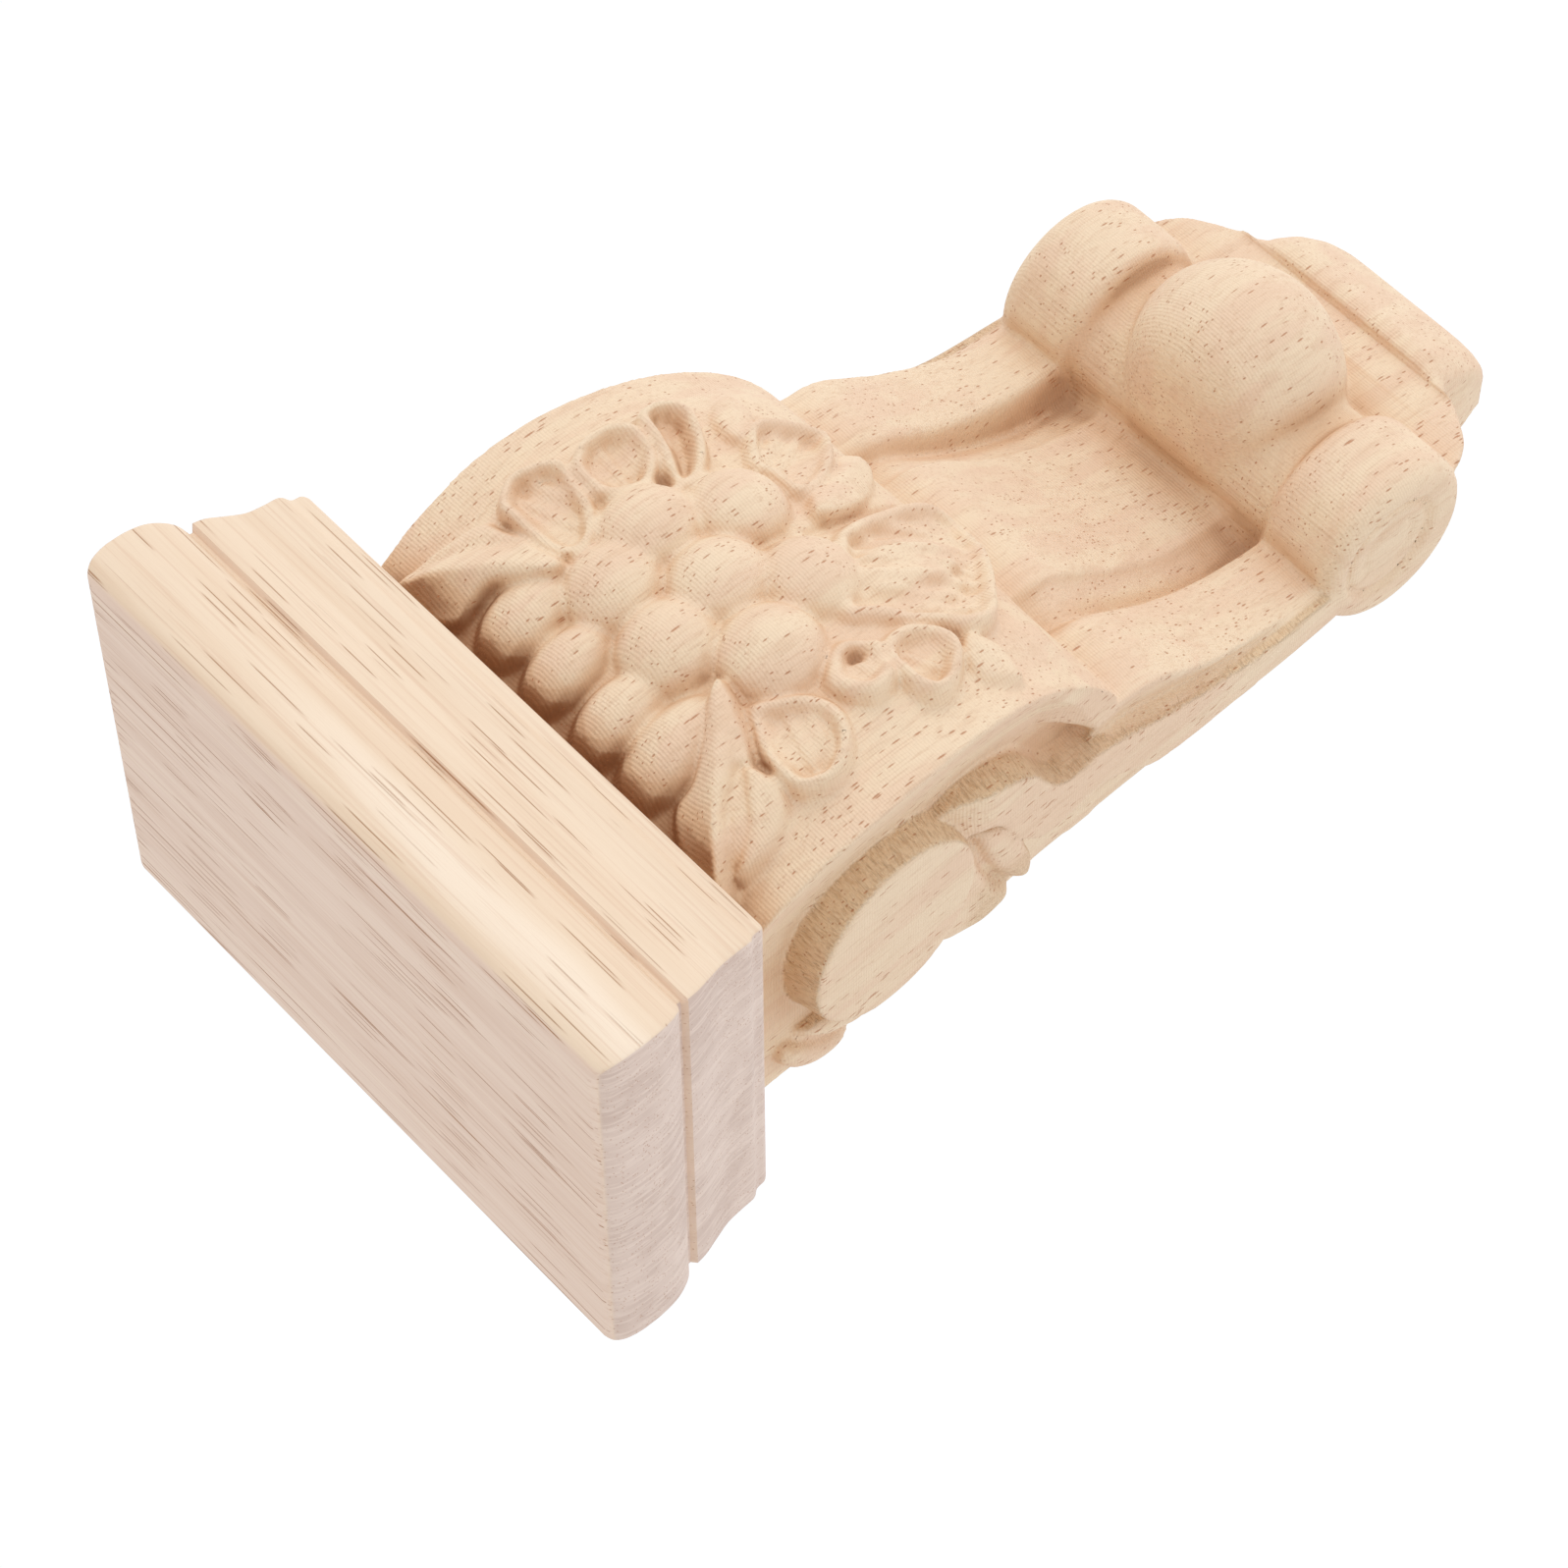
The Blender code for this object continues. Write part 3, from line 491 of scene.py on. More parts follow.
def body_field(xs, ds, zs, relief):
    """Distance field of the carved body on the grid, in millimetres, inside negative."""
    x = xs[:, None, None]
    d = ds[None, :, None]
    z = zs[None, None, :]
    step = zs[1] - zs[0]
    edge = soften(read_curve(EDGE_HALF_WIDTHS, zs), 0.7, step)
    back = soften(read_curve(BACK_HALF_WIDTHS, zs), 0.7, step)
    ledge = int(np.searchsorted(zs, LEDGE_DROP + 1.5))

    # Bulge with its carving
    zb = zs[:ledge]
    crown = BULGE_CROWN * (1 - (xs / BULGE_HALF_WIDTH) ** 2)
    px, py = np.broadcast_arrays(ds[None, :, None] - BULGE_DEPTH - crown[:, None, None],
                                 zb[None, None, :] - BULGE_DROP)
    away, _, foot_sine = ellipse_distance(px.astype(np.float32), py.astype(np.float32),
                                          BULGE_REACH, BULGE_HALF_HEIGHT)
    foot = relief.along(BULGE_DROP + BULGE_HALF_HEIGHT * foot_sine)
    behind = ds[None, :, None] < BULGE_DEPTH
    across = np.broadcast_to(x, away.shape)
    bulge = np.where(behind & (away > -8), -8.0, away - relief.sample(across, foot)).astype(np.float32)
    depth_share = np.clip(d / bulge_edge_depth(zb)[None, None, :], 0, 1.05)
    cove = np.clip((depth_share - COVE_START) / (1 - COVE_START), 0, 1.2) ** COVE_POWER
    wall = back[None, None, :ledge] + (edge - back)[None, None, :ledge] * cove
    pocket_end = np.maximum(POCKET_BACK_END - 0.049 * np.maximum(d - 20.0, 0.0) ** 2,
                            POCKET_FRONT_END)
    beyond = smooth_step((z[:, :, :ledge] - pocket_end + 0.6) / 2.2)
    stem_side = STEM_SIDE_DEPTH - 0.5
    flush = back + (edge - back - 0.3) * np.clip(d / stem_side, 0, 1) ** SIDE_HOLLOW_POWER
    step_out = POCKET_STEP * smooth_step((36.0 - d) / 5.0)
    step_out = step_out + 0.24 * np.maximum(z[:, :, :ledge] - POCKET_FRONT_END, 0.0)
    wall = wall + beyond * np.clip(flush[:, :, :ledge] - wall, 0, step_out)
    bulge = meet(bulge, np.abs(x) - wall, 0.6)
    bulge = meet(bulge, z[:, :, :ledge] - LEDGE_DROP, 0.8)

    # Stem, neck and lip
    drops = [row[0] for row in STEM_ROWS]
    columns = [soften(np.interp(zs, drops, [row[k] for row in STEM_ROWS]), 0.6, step)
               for k in range(1, 7)]
    stem = stem_front(np.abs(xs)[:, None], [column[None, :] for column in columns])
    stem = np.apply_along_axis(soften, 0, stem, 0.3, xs[1] - xs[0])
    stem_edge = columns[5]
    share = xs[:, None] / edge[None, :]
    neck = soften(read_curve(NECK_DEPTHS, zs), 0.35, step)
    lip_corner = np.where(zs > LIP_TOP_DROP, LIP_CORNER, 0.0)[None, :]
    lip_corner = lip_corner * np.clip(np.abs(share), 0, 1.1) ** 8
    foot_depth = neck[None, :] - lip_corner
    blend = smooth_step((zs - FOOT_DROP + 2.0) / 4.0)[None, :]
    front = stem * (1 - blend) + foot_depth * blend
    gx, gz = np.gradient(front, xs, zs)
    norm = np.sqrt(1 + np.clip(gx, -3, 3) ** 2 + np.clip(gz, -3, 3) ** 2)
    shaft = (d - front[:, None, :]) / norm[:, None, :]
    edge_depth = np.where(zs < FOOT_DROP, stem_edge, neck)
    depth_share = np.clip(d / edge_depth[None, None, :], 0, 1.1)
    wall = back[None, None, :] + (edge - back)[None, None, :] * depth_share ** SIDE_HOLLOW_POWER
    side_norm = np.sqrt(1 + np.gradient(edge, zs) ** 2)[None, None, :]
    shaft = meet(shaft, (np.abs(x) - wall) / side_norm, 0.8)
    shaft = meet(shaft, STEM_TOP_DROP - z, 0.3).astype(np.float32)

    body = shaft
    body[:, :, :ledge] = join(bulge, shaft[:, :, :ledge], 0.8)

    # Ball, volutes and the bridge behind the ball
    low = int(np.searchsorted(zs, SCROLL_DROP - 18))
    high = int(np.searchsorted(zs, SCROLL_DROP + 18))
    zl = z[:, :, low:high]
    part = body[:, :, low:high]
    ball = np.sqrt(x ** 2 + (d - BALL_DEPTH) ** 2 + (BALL_SQUASH * (zl - BALL_DROP)) ** 2) - BALL_RADIUS
    run, rise = FLANK_TOP[0] - FLANK_FOOT[0], FLANK_TOP[1] - FLANK_FOOT[1]
    flank = (run * (FLANK_FOOT[1] - zl) + rise * (d - FLANK_FOOT[0])) / math.hypot(run, rise)
    ball = meet(ball, np.broadcast_to(flank, ball.shape), 3.5)
    a = np.sqrt((d - WEDGE_DEPTH) ** 2 + (zl - BALL_DROP) ** 2) - (WEDGE_RADIUS - WEDGE_ROUNDING)
    b = np.abs(x) - (WEDGE_HALF - WEDGE_ROUNDING)
    ball = join(ball, rounded_disc(a, b, WEDGE_ROUNDING), 3.5)
    round_ = np.sqrt((d - VOLUTE_DEPTH) ** 2 + (zl - SCROLL_DROP) ** 2)
    half = (VOLUTE_OUTER - VOLUTE_INNER) / 2
    a = round_ - (VOLUTE_RADIUS - VOLUTE_ROUNDING)
    b = np.abs(np.abs(x) - (VOLUTE_INNER + half)) - (half - VOLUTE_ROUNDING)
    volute = rounded_disc(a, b, VOLUTE_ROUNDING)
    angle = np.arctan2(zl - SCROLL_DROP, d - VOLUTE_DEPTH)
    turn = round_ - 7.6 - 2.2 * np.cos(angle + 0.9)
    on_end = smooth_step((np.abs(x) - 30.6) / 1.2)
    volute = volute + on_end * (0.9 * np.exp(-(turn / 0.6) ** 2) + 0.5 * smooth_step(-turn / 0.5)
                                + 0.4 * np.exp(-((turn + 3.4) / 0.7) ** 2))
    bridge = np.sqrt((d - BRIDGE_DEPTH) ** 2 + (zl - SCROLL_DROP) ** 2) - BRIDGE_RADIUS
    bridge = np.maximum(bridge, np.abs(x) - VOLUTE_INNER - VOLUTE_ROUNDING)
    part = join(part, bridge, 1.5)
    part = join(part, volute, 1.4)
    part = join(part, ball, 1.6)
    body[:, :, low:high] = part

    # Side scrolls: the disc, its tail and the creased leaves behind it
    ld, lz = np.meshgrid(ds, zs, indexing="ij")
    face = SIDE_FACE - SIDE_SLOPE * (z - SIDE_FACE_DROP)
    out = np.abs(x) - face
    draft = WALL_DRAFT * np.clip(out, -SIDE_SINK, 0)
    tail = outline_distance(smooth_closed(TAIL_OUTLINE), ld, lz)[None, :, :] + draft
    disc = (np.hypot(ld - DISC_DEPTH, lz - SIDE_FACE_DROP) - DISC_RADIUS)[None, :, :] + draft
    deep = face - SIDE_SINK - np.abs(x)
    for outline, crease, stand in SIDE_LEAVES:
        edge_away = outline_distance(smooth_closed(outline), ld, lz)
        near = polyline_distance(crease, ld, lz)
        top = stand - 1.9 * np.exp(-(near / 1.2) ** 2) - 1.8 * (1 - rounded_rise(-edge_away / 2.8))
        leaf = meet(np.abs(x) - top[None, :, :],
                    np.broadcast_to(edge_away[None, :, :], body.shape), 0.6)
        body = join(body, leaf, 0.6)
    sunk = 0.4 + 3.2 * smooth_step((76.0 - z) / 9.0) * smooth_step((d - 25.0) / 7.0)
    body = join(body, meet(tail, np.maximum(out + sunk, deep), 0.5), 0.5)
    body = join(body, meet(disc, np.maximum(out, deep), 0.7), 0.5)

    body = meet(body, np.broadcast_to(-d, body.shape), 0.2)
    body = np.maximum(body, CAP_HEIGHT + JOINT_GAP - z)
    return np.maximum(body, z - BOTTOM_DROP).astype(np.float32)


def surface_net(field):
    """Vertices (in grid steps) and quads on the zero level of a field, by surface nets."""
    inside = field < 0
    nx, ny, nz = (n - 1 for n in field.shape)
    corners = [(i, j, k) for i in (0, 1) for j in (0, 1) for k in (0, 1)]
    count = np.zeros((nx, ny, nz), np.int8)
    for i, j, k in corners:
        count += inside[i:nx + i, j:ny + j, k:nz + k]
    active = np.argwhere((count > 0) & (count < 8))
    index = np.full((nx, ny, nz), -1, np.int32)
    index[tuple(active.T)] = np.arange(len(active))
    values = np.stack([field[active[:, 0] + i, active[:, 1] + j, active[:, 2] + k]
                       for i, j, k in corners], 1)
    total = np.zeros((len(active), 3))
    number = np.zeros(len(active))
    for first in range(8):
        for second in range(first + 1, 8):
            start, end = np.array(corners[first]), np.array(corners[second])
            if np.abs(end - start).sum() != 1:
                continue
            a, b = values[:, first], values[:, second]
            crossing = (a < 0) != (b < 0)
            share = np.where(crossing, a / np.where(crossing, a - b, 1), 0)
            total += crossing[:, None] * (start + share[:, None] * (end - start))
            number += crossing
    vertices = active + total / number[:, None]
    quads = []
    for axis in range(3):
        b, c = (axis + 1) % 3, (axis + 2) % 3
        low = np.moveaxis(inside, axis, 0)[:-1]
        high = np.moveaxis(inside, axis, 0)[1:]
        change = np.moveaxis(low != high, 0, axis)
        places = np.argwhere(change)
        places = places[(places[:, b] > 0) & (places[:, c] > 0)
                        & (places[:, b] < index.shape[b]) & (places[:, c] < index.shape[c])]
        eb, ec = np.eye(3, dtype=int)[b], np.eye(3, dtype=int)[c]
        ring = [index[tuple((places - shift).T)] for shift in (eb + ec, ec, 0, eb)]
        ring = np.stack(ring, 1)
        outward = inside[tuple(places.T)]
        quads.append(np.where(outward[:, None], ring, ring[:, ::-1]))
    return vertices, np.concatenate(quads)


def interpolate(field, places):
    """Trilinear value of a grid at places given in grid steps."""
    top = np.array(field.shape) - 1.001
    p = np.clip(places, 0, top)
    i = p.astype(np.int32)
    f = p - i
    value = 0
    for dx in (0, 1):
        for dy in (0, 1):
            for dz in (0, 1):
                weight = (np.abs(1 - dx - f[:, 0]) * np.abs(1 - dy - f[:, 1])
                          * np.abs(1 - dz - f[:, 2]))
                value = value + weight * field[i[:, 0] + dx, i[:, 1] + dy, i[:, 2] + dz]
    return value


def gradient(field, places, reach=0.5):
    columns = []
    for axis in range(3):
        shift = np.eye(3)[axis] * reach
        ahead, behind = interpolate(field, places + shift), interpolate(field, places - shift)
        columns.append((ahead - behind) / (2 * reach))
    return np.stack(columns, 1)


def mesh_object(name, vertices, faces):
    mesh = bpy.data.meshes.new(name)
    mesh.from_pydata(vertices, [], faces)
    mesh.update()
    thing = bpy.data.objects.new(name, mesh)
    bpy.context.scene.collection.objects.link(thing)
    return thing


def apply_modifiers(thing):
    evaluated = thing.evaluated_get(bpy.context.evaluated_depsgraph_get())
    mesh = bpy.data.meshes.new_from_object(evaluated)
    thing.modifiers.clear()
    old = thing.data
    thing.data = mesh
    bpy.data.meshes.remove(old)


def closed_in(field, grid, normal, origin):
    """How far each place is shut in by the wood round it and by the cap overhead, from 0 to 1; the
    body's colour paints it as shade.
    """
    side = np.cross(normal, np.where(np.abs(normal[:, :1]) > 0.8, (0, 1, 0), (1, 0, 0)))
    side = side / np.linalg.norm(side, axis=1)[:, None]
    other = np.cross(normal, side)
    shut = np.zeros(len(grid))
    leans = [(0.0, 0.0)] + [(0.9, turn * math.pi / 3) for turn in range(6)]
    for lean, turn in leans:
        way = normal + lean * (math.cos(turn) * side + math.sin(turn) * other)
        way = way / np.linalg.norm(way, axis=1)[:, None]
        clear = np.ones(len(grid))
        for reach in HOLLOW_REACHES:
            place = grid + way * reach / GRID_STEP
            over = np.abs(place - np.clip(place, 0, np.array(field.shape) - 1.001)).max(axis=1)
            free = interpolate(field, place) + over * GRID_STEP
            drop = origin[2] + place[:, 2] * GRID_STEP
            depth = origin[1] + place[:, 1] * GRID_STEP
            under_cap = depth < CAP_DEPTH - CAP_BOTTOM_INSET
            free = np.where(under_cap, np.minimum(free, drop - CAP_HEIGHT), free)
            clear = np.minimum(clear, np.clip(free / (0.6 * reach), 0, 1))
        shut += (1 - clear) / len(leans)
    return shut


def tooled_and_shade_share(away, depth, drop, normal):
    """Where the tool left coarse ribs, which the colour also darkens as painted shade: walls of the side
    scrolls, scroll flanks and under the cap.
    """
    upright = smooth_step((0.75 - np.abs(normal[:, 0])) / 0.3)
    on_bulge = smooth_step((away - 32.0) / 0.8)
    on_bulge = on_bulge * smooth_step((bulge_edge_depth(drop) - 4.0 - depth) / 2.0)
    on_stem = smooth_step((away - read_curve(EDGE_HALF_WIDTHS, drop) - 0.2) / 0.5)
    side = upright * np.where(drop < 98.0, on_bulge, on_stem)
    side = side * smooth_step((drop - 41.0) / 2.0) * smooth_step((144.0 - drop) / 2.0)
    facing_up = smooth_step((-normal[:, 2] - 0.45) / 0.3)
    flank = facing_up * smooth_step((drop - 138.0) / 1.5) * smooth_step((149.0 - drop) / 2.0)
    flank = 0.3 * flank * smooth_step((depth - 10.0) / 2.0)
    under = smooth_step((35.5 - drop) / 2.5) * smooth_step((depth - 28.0) / 3.0)
    under = under * smooth_step((away - 20.0) / 4.0)
    leaf = smooth_step((drop - 70.0) / 2.0) * smooth_step((84.0 - drop) / 2.0)
    leaf = 0.6 * leaf * smooth_step((18.0 - depth) / 4.0) * smooth_step((away - 33.5) / 0.8)
    marks = np.maximum(np.maximum(side, leaf), np.maximum(flank, 0.8 * under))
    return marks * smooth_step((depth - 0.8) / 1.0)


def write_shares(mesh, name, values):
    attribute = mesh.attributes.new(name, "FLOAT", "POINT")
    attribute.data.foreach_set("value", values.astype(np.float32))


def make_body():
    """The carved body as one mesh, taken from its distance field."""
    xs = np.arange(-40.0, 40.0 + GRID_STEP / 2, GRID_STEP).astype(np.float32)
    ds = np.arange(-1.0, 60.0 + GRID_STEP / 2, GRID_STEP).astype(np.float32)
    zs = np.arange(29.8, 191.0, GRID_STEP).astype(np.float32)
    relief = carve_relief()
    field = body_field(xs, ds, zs, relief)
    places, quads = surface_net(field)
    for _ in range(2):
        slope = gradient(field, places)
        size = np.maximum((slope ** 2).sum(1), 0.04)
        move = slope * (interpolate(field, places) / size)[:, None]
        places = places - np.clip(move, -0.3, 0.3)
    origin = np.array([xs[0], ds[0], zs[0]])
    points = origin + places * GRID_STEP
    points[:, 1] = np.maximum(points[:, 1], 0.0)
    points[:, 2] = np.clip(points[:, 2], CAP_HEIGHT + JOINT_GAP, BOTTOM_DROP)
    metres = np.stack([points[:, 0], -points[:, 1], FIXING_DROP - points[:, 2]], 1) * MM
    body = mesh_object("carved_body_surface", metres.tolist(), quads.tolist())
    shrink = body.modifiers.new("even_out", "DECIMATE")
    shrink.ratio = min(1.0, TRIANGLE_LIMIT / (2 * len(quads)))
    apply_modifiers(body)
    mesh = body.data
    mesh.shade_smooth()
    flat = np.zeros(len(mesh.vertices) * 3, np.float32)
    mesh.vertices.foreach_get("co", flat)
    co = flat.reshape(-1, 3) / MM
    grid = (np.stack([co[:, 0], -co[:, 1], FIXING_DROP - co[:, 2]], 1) - origin) / GRID_STEP
    slope = gradient(field, grid, 1.0)
    normal = slope / np.maximum(np.linalg.norm(slope, axis=1), 1e-6)[:, None]
    # Painted shade: the shut-in share darkens the body's colour in creases, recesses and under the cap.
    painted_recess_shade = closed_in(field, grid, normal, origin)
    away, depth, drop = np.abs(co[:, 0]), -co[:, 1], FIXING_DROP - co[:, 2]
    # The painted shade is halved on the sides and, away from the cap, kept short of the darkest brown.
    on_side = smooth_step((away - 29.0) / 3.0) * smooth_step((drop - 42.0) / 5.0)
    painted_recess_shade = painted_recess_shade * (1 - 0.5 * on_side)
    open_air = smooth_step((drop - 46.0) / 6.0)
    painted_recess_shade = np.minimum(painted_recess_shade, 1 - 0.36 * open_air)
    write_shares(mesh, "painted_recess_shade", painted_recess_shade)
    # Tooled share: rough-cut wood, and also painted shade on walls facing away from the light and under
    # the cap.
    write_shares(mesh, "tooled_and_shaded", tooled_and_shade_share(away, depth, drop, normal))
    print("body mesh", len(quads) * 2, "->", len(mesh.polygons), "faces")
    return body


def smooth_open(points, pieces=5):
    """Catmull-Rom curve through an open list of points."""
    if len(points) == 2:
        return points
    result = []
    for i in range(len(points) - 1):
        last = len(points) - 1
        corners = (np.array(points[min(max(i + k, 0), last)], float) for k in (-1, 0, 1, 2))
        result += between(*corners, pieces)
    return result + [points[-1]]


def make_cap():
    """The cap board, its moulding mitred at the two front corners."""
    profile = []
    for curve in CAP_CURVES:
        profile += smooth_open(curve)[(1 if profile else 0):]
    rounding = CAP_CORNER_ROUNDING
    rings = []
    for inset, drop in profile:
        half = CAP_WIDTH / 2 - max(inset, 0.0)
        front = CAP_DEPTH - max(inset, 0.0)
        outline = []
        for step in range(CAP_SIDE_ROWS + 1):
            outline.append((-half, (front - rounding) * step / CAP_SIDE_ROWS))
        for turn in (30, 60):
            angle = math.radians(turn)
            outline.append((-half + rounding * (1 - math.cos(angle)),
                            front - rounding * (1 - math.sin(angle))))
        for step in range(CAP_COLUMNS + 1):
            outline.append((-half + rounding + 2 * (half - rounding) * step / CAP_COLUMNS, front))
        for turn in (60, 30):
            angle = math.radians(turn)
            outline.append((half - rounding * (1 - math.cos(angle)),
                            front - rounding * (1 - math.sin(angle))))
        for step in range(CAP_SIDE_ROWS, -1, -1):
            outline.append((half, (front - rounding) * step / CAP_SIDE_ROWS))
        ring = [(across * MM, -depth * MM, (FIXING_DROP - drop) * MM) for across, depth in outline]
        rings.append(ring)
    form = bmesh.new()
    rows = [[form.verts.new(point) for point in ring] for ring in rings]
    count = len(rows[0])
    for upper, lower in zip(rows, rows[1:]):
        for index in range(count):
            after = (index + 1) % count
            form.faces.new((upper[index], lower[index], lower[after], upper[after]))
    form.faces.new(rows[0])
    form.faces.new(list(reversed(rows[-1])))
    bmesh.ops.recalc_face_normals(form, faces=form.faces)
    for face in form.faces:
        face.smooth = True
    for edge in form.edges:
        edge.smooth = edge.calc_face_angle(0) < CAP_SHARP_ANGLE
    mesh = bpy.data.meshes.new("moulded_cap_surface")
    form.to_mesh(mesh)
    form.free()
    cap = bpy.data.objects.new("moulded_cap_surface", mesh)
    bpy.context.scene.collection.objects.link(cap)
    return cap


class Shader:
    """Short calls for building a node material."""

    def __init__(self, name):
        self.material = bpy.data.materials.new(name)
        self.material.use_nodes = True
        self.tree = self.material.node_tree
        self.surface = self.tree.nodes["Principled BSDF"]
        self.place = self.node("ShaderNodeTexCoord").outputs["Object"]

    def node(self, kind, **settings):
        made = self.tree.nodes.new(kind)
        for key, value in settings.items():
            setattr(made, key, value)
        return made

    def put(self, socket, value):
        if isinstance(value, bpy.types.NodeSocket):
            self.tree.links.new(value, socket)
        else:
            socket.default_value = value

    def math(self, operation, first, second=0.0, clamp=False):
        made = self.node("ShaderNodeMath", operation=operation, use_clamp=clamp)
        self.put(made.inputs[0], first)
        self.put(made.inputs[1], second)
        return made.outputs[0]

    def scaled(self, sizes):
        """Object coordinates divided by a size in millimetres along each axis."""
        made = self.node("ShaderNodeVectorMath", operation="MULTIPLY")
        self.put(made.inputs[0], self.place)
        made.inputs[1].default_value = tuple(1 / (size * MM) for size in sizes)
        return made.outputs[0]

    def noise(self, sizes, detail=2.0, rough=0.5, distort=0.0):
        made = self.node("ShaderNodeTexNoise")
        self.put(made.inputs["Vector"], self.scaled(sizes))
        made.inputs["Scale"].default_value = 1.0
        made.inputs["Detail"].default_value = detail
        made.inputs["Roughness"].default_value = rough
        made.inputs["Distortion"].default_value = distort
        return made.outputs[0]

    def ramp(self, value, low, high, smooth=True):
        made = self.node("ShaderNodeMapRange", interpolation_type="SMOOTHSTEP" if smooth else "LINEAR")
        self.put(made.inputs["Value"], value)
        made.inputs["From Min"].default_value = low
        made.inputs["From Max"].default_value = high
        return made.outputs[0]

    def mix(self, share, first, second, blend="MIX"):
        made = self.node("ShaderNodeMix", data_type="RGBA", blend_type=blend)
        self.put(made.inputs[0], share)
        self.put(made.inputs[6], first)
        self.put(made.inputs[7], second)
        return made.outputs[2]

    def pores(self, sizes, reach, keep, crowd=None, metric="EUCLIDEAN", pull=2.4):
        """Short dark vessels drawn out along the grain: 1 in a pore and 0 outside."""
        made = self.node("ShaderNodeTexVoronoi", feature="F1", distance=metric)
        self.put(made.inputs["Vector"], self.scaled(sizes))
        made.inputs["Scale"].default_value = 1.0
        made.inputs["Randomness"].default_value = 1.0
        pick = self.node("ShaderNodeSeparateColor")
        self.put(pick.inputs[0], made.outputs["Color"])
        near = self.math("SUBTRACT", 1.0, self.ramp(made.outputs["Distance"], reach * 0.45, reach))
        wanted = pick.outputs[0]
        if crowd is not None:
            drawn = self.math("MULTIPLY", self.math("SUBTRACT", crowd, 0.5), pull)
            wanted = self.math("ADD", wanted, drawn)
        chosen = self.ramp(wanted, 1 - keep - 0.05, 1 - keep + 0.05, False)
        return self.math("MULTIPLY", near, chosen)

    def bump(self, height, distance, strength):
        made = self.node("ShaderNodeBump")
        self.put(made.inputs["Height"], height)
        made.inputs["Distance"].default_value = distance * MM
        made.inputs["Strength"].default_value = strength
        return made.outputs[0]

    def finish(self, colour, roughness, normal, specular):
        self.put(self.surface.inputs["Base Color"], colour)
        self.put(self.surface.inputs["Roughness"], roughness)
        self.put(self.surface.inputs["Normal"], normal)
        self.surface.inputs["Specular IOR Level"].default_value = specular
        return self.material


def body_wood():
    s = Shader("carved_body_wood")
    cream = (0.86, 0.675, 0.485, 1)
    blush = (0.83, 0.61, 0.44, 1)
    bands = s.noise((5, 7, 60), 3, 0.55, 0.4)
    colour = s.mix(s.ramp(bands, 0.4, 0.62), cream, blush)
    broad = s.noise((1.6, 2.0, 26), 2, 0.6)
    colour = s.mix(s.math("MULTIPLY", s.ramp(broad, 0.5, 0.72), 0.4), colour, (0.74, 0.52, 0.355, 1))
    streak = s.noise((0.32, 0.32, 9), 2, 0.6)
    colour = s.mix(s.math("MULTIPLY", s.ramp(streak, 0.5, 0.72), 0.38), colour, (0.64, 0.41, 0.26, 1))
    # Painted shade: creases and recesses turn orange-brown, and the most shut-in places under the cap
    # turn dark brown.
    painted_recess_shade = s.node("ShaderNodeAttribute", attribute_name="painted_recess_shade").outputs["Fac"]
    colour = s.mix(s.math("MULTIPLY", s.ramp(painted_recess_shade, 0.17, 0.62), 0.6), colour, (0.70, 0.42, 0.23, 1))
    colour = s.mix(s.math("MULTIPLY", s.ramp(painted_recess_shade, 0.48, 0.86), 0.9), colour, (0.29, 0.105, 0.035, 1))
    tooled_and_shaded = s.node("ShaderNodeAttribute", attribute_name="tooled_and_shaded").outputs["Fac"]
    ribs = s.noise((24, 0.3, 0.3), 1, 0.5, 0.0)
    # Partly the rough-cut wood's own tan, partly painted shade on the scroll walls, the leaves behind
    # the disc and under the cap; the grooves between the ribs are darkened as painted shade too.
    colour = s.mix(s.math("MULTIPLY", tooled_and_shaded, 0.45), colour, (0.68, 0.45, 0.235, 1))
    rib_grooves_and_shade = s.math("MULTIPLY", tooled_and_shaded, s.math("SUBTRACT", 1.0, s.ramp(ribs, 0.34, 0.5)))
    colour = s.mix(s.math("MULTIPLY", rib_grooves_and_shade, 0.34), colour, (0.42, 0.22, 0.09, 1))
    crowd = s.noise((5, 5, 16), 2, 0.6)
    dashes = s.pores((0.55, 0.55, 3.6), 0.27, 0.42, crowd)
    vessels = s.pores((1.1, 1.1, 7), 0.17, 0.5, crowd)
    pores = s.math("MAXIMUM", dashes, vessels)
    colour = s.mix(s.math("MULTIPLY", pores, 0.74), colour, (0.47, 0.185, 0.08, 1))
    fibre = s.noise((0.2, 0.2, 2.2), 2, 0.6)
    tool = s.node("ShaderNodeTexWave", wave_type="BANDS", bands_direction="Z", wave_profile="SIN")
    s.put(tool.inputs["Vector"], s.scaled((1, 1, 1)))
    tool.inputs["Scale"].default_value = 0.7
    tool.inputs["Distortion"].default_value = 1.2
    tool.inputs["Detail"].default_value = 1.0
    rough_cut = s.noise((0.5, 0.5, 0.5), 3, 0.7)
    height = s.math("ADD", s.math("MULTIPLY", fibre, 0.55),
                    s.math("MULTIPLY", tool.outputs["Fac"], 0.35))
    height = s.math("ADD", height, s.math("MULTIPLY", rough_cut, 0.7))
    height = s.math("SUBTRACT", height, s.math("MULTIPLY", pores, 0.4))
    height = s.math("ADD", height, s.math("MULTIPLY", s.math("MULTIPLY", tooled_and_shaded, ribs), 3.6))
    normal = s.bump(height, 0.16, 0.8)
    return s.finish(colour, s.math("ADD", s.math("MULTIPLY", fibre, 0.15), 0.6), normal, 0.22)


